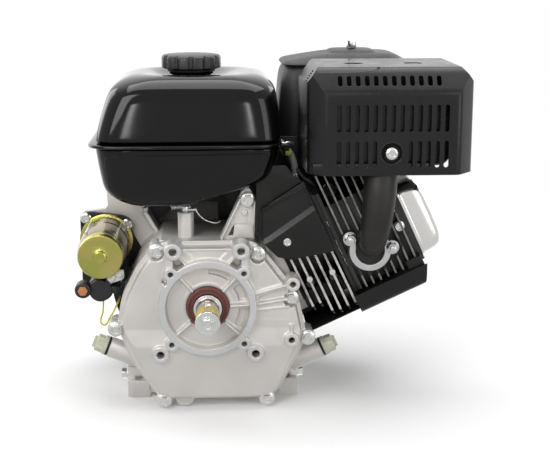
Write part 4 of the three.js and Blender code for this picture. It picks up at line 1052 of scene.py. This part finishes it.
def air_guides():
    """Black sheets that lead cooling air past the barrel, and two black sheets that are partly painted shade."""
    under = prism("z", rounded([(96, 29), (171, 29), (171, 146), (96, 146)], 3), -90.6, -89.4,
                  SLOPED)
    side = prism("y", rounded([(100, -8), (122, -27), (134, -22), (150, 40), (112, 40)], 4), 62,
                 63.2)
    beside = prism("y", rounded([(60.5, 84), (84, 84), (84, 124), (121, 150), (109, 156), (97, 172),
                                 (60.5, 172)], 2.5),
                   24.6, 25.8)
    # Partly painted shade: a flat black sheet that stands in for the dark carburettor and heat shield and for the
    # shade under the air cleaner.
    carburettor_and_shade_sheet = prism("y", rounded([(15, 70), (150, 62), (212, 150), (212, 190), (88, 190), (80, 152),
                                 (68, 140), (15, 116)], 6), 147.6, 149)
    settle(chamfered(joined(under, side, beside, carburettor_and_shade_sheet), 0.4), "air_guides", "satin_black")
    # Partly painted shade: a thin black sheet over the case beside the starter, standing in for the black fan
    # housing seen through the opening and the shade on it.
    window = rounded([(-104, 86), (-97, 64), (-86, 44), (-82, 6), (-100, -2), (-112, 8),
                      (-112, 70)], 6)
    settle(prism("y", window, 137.2, 137.9), "starter_shade_sheet", "satin_black")


def fuel_lines():
    """The hose, its clips and a wire connector between the tank and the heat guard."""
    hose = tube([(96, 120, 186), (102, 96, 182), (108, 84, 172), (112, 80, 156), (113, 84, 140),
                 (118, 100, 128)], 4.4, 8)
    settle(hose, "fuel_hose", "hose_grey", shade=False)
    lead = tube([(90, 118, 184), (104, 84, 168), (114, 78, 158), (122, 74, 148), (134, 70, 140),
                 (140, 78, 128)], 2.6, 8)
    plug = chamfered(block((97, 105), (80, 90), (183, 188.5)), 1.0)
    settle(joined(lead, plug), "plug_lead", "black_rubber", "black_plastic")
    clips = [lathe([(4.6, -2.2), (5.5, -2.2), (5.5, 2.2), (4.6, 2.2)], at, axis, 32, closed=True)
             for at, axis in (((103, 94, 181), (0.5, -1, -0.6)), ((113, 81, 150), (0, 0, 1)))]
    hook = tube([(92, 84, 196), (96, 80, 191), (103, 80, 192), (110, 82, 190)], 1.3, 6)
    settle(joined(*clips, hook), "hose_clips", "zinc_plate")
    box_plug = chamfered(block((99, 107), (74, 80), (176, 181)), 0.8)
    settle(box_plug, "wire_connector", "yellow_wire")


# ---- air cleaner
def air_cleaner():
    low, high = span("air_cleaner_cover")
    x, y = (low.x, high.x), (low.y, high.y)

    sections = []
    for height, step, radius in ((0, 3, 20), (0.5, 1.2, 22), (4, 0.4, 24), (30, 1.5, 24),
                                 (76, 4.5, 24), (88, 7, 24), (95, 12, 22), (99.5, 19, 20),
                                 (101.6, 28, 18), (102.2, 44, 12)):
        sections.append((low.z + height, (x[0] + step, x[1] - step), (y[0] + step, y[1] - step),
                         radius))
    shell = subdivided(loft(sections), 2)
    crown = subdivided(loft([
        (high.z - 9, (163, 231), (180, 252), 14), (high.z - 4.5, (165, 229), (182, 250), 14),
        (high.z - 2, (168, 226), (185, 247), 13), (high.z - 0.9, (174, 220), (190, 240), 10),
        (high.z - 0.7, (184, 210), (200, 225), 8)]), 2)
    slope = subdivided(loft([
        (high.z - down, (x[0] + left, x[1] - right), (y[0] + step, y[1] - step), radius)
        for down, left, right, step, radius in (
            (24, 3, 3, 3, 24), (16, 7, 5, 8, 24), (13, 14, 8, 12, 22), (8.5, 44, 14, 16, 18),
            (5, 66, 24, 20, 16), (4.6, 76, 34, 30, 12))]), 2)
    settle(joined(shell, crown, slope), "cleaner_cover", "grey_plastic",
           stands_for="air_cleaner_cover")


# ---- electric starter
def starter():
    middle = centre("starter_pinion")
    x, z = middle.x, middle.z
    front = span("starter_motor")[0].y
    cap = turned([(0.1, front + 1), (6.6, front), (8, front + 1), (8.4, front + 3.6),
                  (10.5, front + 4.6), (20, front + 4.9), (24.5, front + 4.4), (27.2, front + 5.2),
                  (28.4, front + 8), (28.4, front + 20), (27.4, front + 20)], 96, (x, z), False)
    settle(cap, "starter_end_cap", "yellow_zinc", stands_for="starter_motor")
    can = turned([(27.0, front + 18), (28.4, front + 18.4), (30.2, front + 28), (30.4, 96),
                  (31, 96.6), (31, 104), (30.4, 104.6), (30.4, 127), (31.4, 129), (31.4, 131),
                  (12, 131)], 96, (x, z), False)
    settle(can, "starter_can", "starter_can")
    outline = [(x - 33.5, z - 69), (x + 13, z - 69), (x + 35, z + 23), (x + 24, z + 31.5),
               (x - 24, z + 37.5), (x - 33.5, z + 33.5)]
    flange = chamfered(prism("y", rounded(outline, 8), 130.6, 137.6), 0.8)
    nose = rod_y((x, z), (137, 146), 14)
    shaft = rod_y((x, z), (140, 178), 5.8)
    settle(joined(flange, nose, shaft), "starter_flange", "satin_black")
    rim = turned([(27.4, 126), (33.6, 126), (34.4, 126.6), (34.4, 128.4), (27.4, 128.8)], 96,
                 (x, z))
    settle(rim, "starter_rim", "yellow_zinc")
    bolts = [bolt_head((bx, 130.4, bz), (0, -1, 0), 5.6, 5.6, 7.2)
             for bx, bz in ((x - 26, z + 29), (x + 27, z + 20))]
    studs = [tube([(x - 19 + 38 * i, front + 30, z + 24.6 - 2 * i),
                   (x - 19 + 38 * i, 80, z + 24.6 - 2 * i),
                   (x - 19 + 38 * i, 129, z + 24.6 - 2 * i)], 1.7, 6) for i in range(2)]
    settle(joined(*bolts, *studs), "starter_bolts", "zinc_plate")


def solenoid():
    x, z = -134, 11.5  # axis of the can, which lies along Y
    terminal = x - 21, z + 2
    body = turned([(13, 48), (14, 49), (14, 56), (15.4, 56.6), (16, 58), (16, 74), (15.4, 75),
                   (16, 76), (16, 130)], 72, (x, z), False)
    boot = turned([(7, 41.5), (9.6, 42.5), (10.4, 45), (10.4, 58), (9, 62)], 48, terminal, False)
    bridge = loft([(z - 5, (x - 22, x + 1), (50, 62), 4), (z - 3, (x - 22, x + 1), (49, 63), 5),
                   (z + 7, (x - 22, x + 1), (49, 63), 5), (z + 9, (x - 22, x + 1), (51, 61), 4)])
    shoe = loft([(z - 6, (x, x + 21), (54, 68), 4), (z - 4, (x, x + 22), (52, 70), 5),
                 (z + 4, (x, x + 22), (52, 70), 5), (z + 6, (x, x + 20), (55, 67), 4)])
    settle(joined(body, boot, subdivided(bridge, 1), subdivided(shoe, 1)), "solenoid_body",
           "black_plastic", stands_for="starter_solenoid")
    stud = joined(rod_y(terminal, (38.4, 44), 3),
                  turned([(6.2, 40.4), (6.2, 43.6), (3, 43.6), (3, 40.4)], 6, terminal))
    settle(stud, "solenoid_stud", "copper")
    terminals = [bolt_head((x + dx, 51.6, z + dz), (0, -1, 0), 4.4, 4, 5.6, stud=2.4)
                 for dx, dz in ((14, 15), (24, 21))]
    plate = chamfered(prism("y", rounded([(x + 6, z + 6), (x + 30, z + 14), (x + 30, z + 27),
                                          (x + 10, z + 22)], 4), 51.6, 53.6), 0.3)
    settle(joined(*terminals, plate), "solenoid_terminals", "zinc_plate")


def wires():
    loop = tube([(-131, 60, 0), (-131.5, 54, -14), (-132, 50, -33), (-122, 50, -22), (-114, 58, -8),
                 (-112, 76, -4)], 1.1, 6)
    settle(loop, "starter_wire", "yellow_wire", shade=False)
    lead = tube([(-110, 64, 12), (-104, 66, 22), (-102, 84, 26), (-104, 130, 20), (-108, 160, 6),
                 (-120, 192, 0)], 2.2, 6)
    settle(lead, "switch_lead", "black_rubber", "black_plastic", shade=False)


# ---- oil plugs
def oil_plug(side):
    joint = next(j for j in frame["joints"] if j["name"] == "oil_plug_%s_turn" % side)
    origin, axis = drawn(joint["pos_m"]), Vector(joint["axis"])
    place = Matrix.Translation(origin) @ frame_along(axis)
    sides = 96

    def ring(radius, height, depth=0.0):
        return scalloped(radius, depth, height, sides, 8)

    rings = [ring(7.9, -13), ring(7.9, 0.3), ring(11.4, 0.4), ring(11.4, 3.0), ring(12.4, 3.4),
             ring(12.4, 7.2), ring(11.4, 8.0), ring(11.4, 8.6, 0.9), ring(11.2, 16.5, 1.1),
             ring(10.2, 17.6, 0.8), ring(8.4, 18.0), ring(7.6, 18.0), ring(7.2, 16.8),
             ring(1, 16.8)]
    grip = bridged(rings, place)
    tab = chamfered(block((-7.5, 7.5), (-1.7, 1.7), (16, 21.6), place), 0.8)
    body = "dipstick_" + side
    settle(joined(grip, tab), "oil_filler_" + side, "cream_plastic", body=body,
           stands_for="oil_plug_" + side)
    torus = lathe([(10.6 + r, 1.7 + h * 0.7) for r, h in circle_points(2.1, 16)], origin, axis, 64,
                  closed=True)
    settle(torus, "oil_seal_" + side, "black_rubber", body=body)


# ---- back of the engine
def fan_housing():
    base = copy_of("fan_housing")
    radius = 128
    back = span("fan_housing")[1].y
    drum = turned([(radius, 147), (radius, back - 8), (radius - 2.4, back - 3), (radius - 8, back),
                   (67, back), (67, back - 2.2), (radius - 8.6, back - 2.2),
                   (radius - 4.4, back - 5), (radius - 2.4, back - 8.6), (radius - 2.4, 147)], 128)
    keep = carve(rod_y((0, 0), (140, back + 5), radius + 0.02, sides=128),
                 joined=[prism("y", rounded([(61, -111), (186, -4), (122, 134), (20, 126)], 10, 6),
                               140, 216.2),
                         block((-112, -92), (170, 190), (70, 100)),
                         rod_y((-112, 84), (170, 190), 7.2)])
    carve(base, kept=[keep])
    carve(base, removed=[rod_y((0, 0), (back - 9, back + 3), 200, sides=64)])
    carve(base, joined=[drum])
    bosses = [rod_y(polar(116, a), (back - 3, back - 0.2), 6.5) for a in (35, 100, 205, 325)]
    settle(joined(base, *bosses), "blower_housing", "satin_black", stands_for="fan_housing")
    heads = [bolt_head((polar(93, a)[0], back, polar(93, a)[1]), (0, 1, 0), 5.6, 5.4, 7.2)
             for a in (60, 180, 300)]
    settle(joined(*heads), "recoil_screws", "zinc_plate")


ROPE_EYE = (-35.3, 262, 71.6)  # where the rope leaves the housing
ROPE_WAY = (-1, 0, 2)


def recoil_housing():
    low, high = span("recoil_housing")
    back = high.y
    dish = turned([(82, low.y), (82, back - 20), (80.6, back - 13), (76, back - 9),
                   (70, back - 7.4), (64, back - 4), (58, back - 1.2), (50, back), (24, back),
                   (20, back - 1.2), (17, back - 3), (0.1, back - 3), (0.1, back - 5),
                   (18, back - 5), (24, back - 2.2), (50, back - 2.2), (57, back - 3.4),
                   (63, back - 6.4), (69, back - 9.6), (75, back - 11.4), (78.6, back - 14.6),
                   (79.8, back - 20), (79.8, low.y)], 128)
    vents = []
    for i in range(12):
        turn = Matrix.Rotation(-math.radians(30 * i), 4, "Y")
        vents.append(prism("y", round_rectangle((27, 47), (-3.2, 3.2), 3.1, 6), back - 8, back + 3,
                           turn))
    for i in range(20):
        if i in (6, 7):
            continue
        turn = Matrix.Rotation(-math.radians(18 * i + 9), 4, "Y")
        vents.append(prism("x", round_rectangle((low.y + 7, back - 24), (-3.4, 3.4), 3.3, 6), 76,
                           86, turn))
    eye = rod((-30, 262, 60), (-50, 262, 100), 6)
    carve(dish, removed=[*vents, eye])
    post = rod_y((0, 0), (250, back - 4), 6.8)
    grommet = lathe([(5.2, 0), (8.6, 0), (9.2, 1.6), (8.2, 4.4), (5.2, 4.4)], ROPE_EYE, ROPE_WAY,
                    48, closed=True)
    hub = lathe([(11, 0), (11, 2.2), (9, 3), (0.1, 3)], (0, back - 3.4, 0), (0, 1, 0), 64)
    settle(joined(dish, post), "recoil_cover", "satin_black", stands_for="recoil_housing")
    settle(hub, "recoil_hub", "black_plastic")
    settle(grommet, "rope_guide", "black_plastic")


def pull_grip():
    direction = Vector(ROPE_WAY).normalized()
    across = Vector((2, 0, 1)).normalized()
    middle = Vector((-42, 262, 84)) + direction * 24
    grip = lathe([(0.1, -37.8), (5, -37.4), (8, -35), (9, -30), (8.4, -18), (8.0, -8), (8.0, 8),
                  (8.4, 18), (9, 30), (8, 35), (5, 37.4), (0.1, 37.8)], middle, across, 64)
    neck = lathe([(5.4, -18), (6, -17.6), (6.6, -12), (7.8, -4), (7.8, 2)], middle, direction, 48)
    settle(joined(grip, neck), "starter_grip", "black_plastic", body="pull_grip",
           stands_for="pull_handle")
    start = Vector(ROPE_EYE) + direction * 2
    end = middle - direction * 16
    count = 30
    rings = []
    for i in range(count + 1):
        centre = start.lerp(end, i / count)
        rings.append([tuple(centre + across * x + Vector((0, 1, 0)) * y)
                      for x, y in circle_points(1.9 + 0.12 * math.sin(i * 2.1), 16)])
    rope = bridged(rings)
    smooth_shaded(rope)
    rope.name = "starter_rope"
    rope.data.materials.append(finishes["rope"])
    tuple(to_frame(start))
    tuple(to_frame(end))
    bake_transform(rope)


# ---- stage
PAPER, PAPER_BOUNCE = (0.93, 0.93, 0.93), (0.45, 0.45, 0.45)  # as seen, and as a source of light
CLEAR_ROOM = (0.7, 1.7)  # distances over which the paper fades to white


def stage():
    """Pale paper on the floor, curving up into a wall behind the part, in metres."""
    floor_z = cad_box[0][2] - 0.0004
    front, depth, width, rise, bend = -3.0, 2.2, 6.0, 3.0, 0.8
    profile = [(front, 0.0), (depth - bend, 0.0)]
    for i in range(1, 9):
        angle = math.pi / 2 * i / 8
        profile.append((depth - bend + bend * math.sin(angle), bend - bend * math.cos(angle)))
    profile.append((depth, rise))
    rings = [[(x / MM, y / MM, (floor_z + z) / MM) for x in (-width, width)] for y, z in profile]
    points = [p for ring in rings for p in ring]
    faces = [(2 * i, 2 * i + 1, 2 * i + 3, 2 * i + 2) for i in range(len(rings) - 1)]
    floor = from_faces(points, faces)
    floor.name = "studio_floor"
    all_smooth(floor)
    paper = surface("paper", PAPER, 0.0, 0.9, grain=400, bump=0.02, mottle=0.005,
                    uneven=0.02)
    fade_to_white(paper)
    floor.data.materials.append(paper.material)
    floor.visible_glossy = False
    floor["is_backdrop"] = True


def fade_to_white(paper):
    """Far from the part the paper is plain white, and its outer side can't be seen.

    The paper's faces point away from the part, so its near side is the back of its faces.
    """
    seen = paper.add("ShaderNodeLightPath").outputs["Is Camera Ray"]
    reach = paper.add("ShaderNodeVectorMath", {0: paper.place}, operation="LENGTH").outputs["Value"]
    far = paper.maths("MULTIPLY", seen, paper.spread(reach, 0, 1, CLEAR_ROOM, smooth=True))
    white = paper.add("ShaderNodeEmission").outputs[0]
    lit = paper.add("ShaderNodeMixShader")
    shown = paper.add("ShaderNodeMixShader")
    near_side = paper.add("ShaderNodeNewGeometry").outputs["Backfacing"]
    paper.give("Base Color", paper.mix(seen, PAPER_BOUNCE, PAPER))
    for socket, value in ((lit.inputs[0], far), (lit.inputs[1], paper.shader.outputs[0]),
                          (lit.inputs[2], white), (shown.inputs[0], near_side),
                          (shown.inputs[1], paper.add("ShaderNodeBsdfTransparent").outputs[0]),
                          (shown.inputs[2], lit.outputs[0]),
                          (paper.nodes["Material Output"].inputs["Surface"], shown.outputs[0])):
        paper.links.new(value, socket)


FRONT_GLOW, BACK_GLOW = 0.72, 1.3  # the room in glancing reflections, before and behind the part
AMBIENT = 0.14


def softbox(name, place, aim, size, power, colour=(1, 1, 1)):
    light = bpy.data.lights.new(name, "AREA")
    light.shape = "RECTANGLE"
    light.size, light.size_y = size
    light.energy = power
    light.color = colour
    lamp = bpy.data.objects.new(name, light)
    bpy.context.scene.collection.objects.link(lamp)
    lamp.location = Vector(place) + DATUM * MM
    lamp.rotation_euler = (Vector(aim) - Vector(place)).to_track_quat("-Z", "Y").to_euler()


def lights():
    aim = (0.06, 0.1, 0.06)
    softbox("key", (-1.1, -1.5, 1.35), aim, (1.4, 1.1), 26)
    softbox("fill", (1.5, -1.3, 0.7), aim, (0.9, 1.3), 9)
    softbox("top", (0.1, 0.3, 1.9), aim, (2.0, 1.6), 36)
    softbox("back_left", (-1.5, 1.3, 0.9), aim, (1.0, 1.2), 11)
    softbox("back_right", (1.5, 1.5, 0.9), aim, (1.0, 1.2), 11)
    softbox("strip_left", (-0.236, -1.1, 0.52), (-0.108, 0.08, 0.25), (0.045, 0.26), 0.4)
    softbox("strip_right", (0.156, -1.1, 0.52), (0.07, 0.08, 0.25), (0.03, 0.26), 0.28)
    scene = bpy.context.scene
    scene.world = bpy.data.worlds.new("studio")
    sky = Tree(scene.world)
    ray = sky.add("ShaderNodeLightPath").outputs
    around = sky.add("ShaderNodeTexCoord").outputs["Generated"]
    depth = sky.add("ShaderNodeSeparateXYZ", {0: around}).outputs["Y"]
    mirrored = sky.spread(depth, FRONT_GLOW, BACK_GLOW, (0.1, 0.8), smooth=True)
    unseen = sky.mix(ray["Is Glossy Ray"], (AMBIENT, AMBIENT, AMBIENT), mirrored)
    seen = sky.mix(ray["Is Camera Ray"], unseen, (1, 1, 1))
    sky.feed(sky.nodes["Background"].inputs["Color"], seen)
    scene.view_settings.view_transform = "Standard"


EYE = Vector((0.0068, -1.3454, 0.4078))  # in metres from the drawing's origin
YAW, PITCH = math.radians(3.2), math.radians(12.7)


def camera():
    lens = bpy.data.cameras.new("camera")
    lens.sensor_width, lens.lens = 36, 75.3
    eye = bpy.data.objects.new("camera", lens)
    bpy.context.scene.collection.objects.link(eye)
    eye.location = EYE + DATUM * MM
    look = Vector((math.sin(YAW) * math.cos(PITCH), math.cos(YAW) * math.cos(PITCH),
                   -math.sin(PITCH)))
    eye.rotation_euler = look.to_track_quat("-Z", "Y").to_euler()
    bpy.context.scene.camera = eye


# ---- assembly
for build in (node_looks, fasteners, crankcase_cover, oil_seal, case_details, fuel_tank, fuel_cap,
              heat_guard, muffler_can, exhaust, valve_cover, side_cowl, head_extras, air_guides,
              fuel_lines, air_cleaner, starter, solenoid, wires):
    build()
for side in ("left", "right"):
    oil_plug(side)
for build in (fan_housing, recoil_housing, pull_grip, stage, lights, camera):
    build()


def plain(box):
    return [[float(v) for v in corner] for corner in box]


{"cad": plain(cad_box), "visual": plain(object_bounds())}
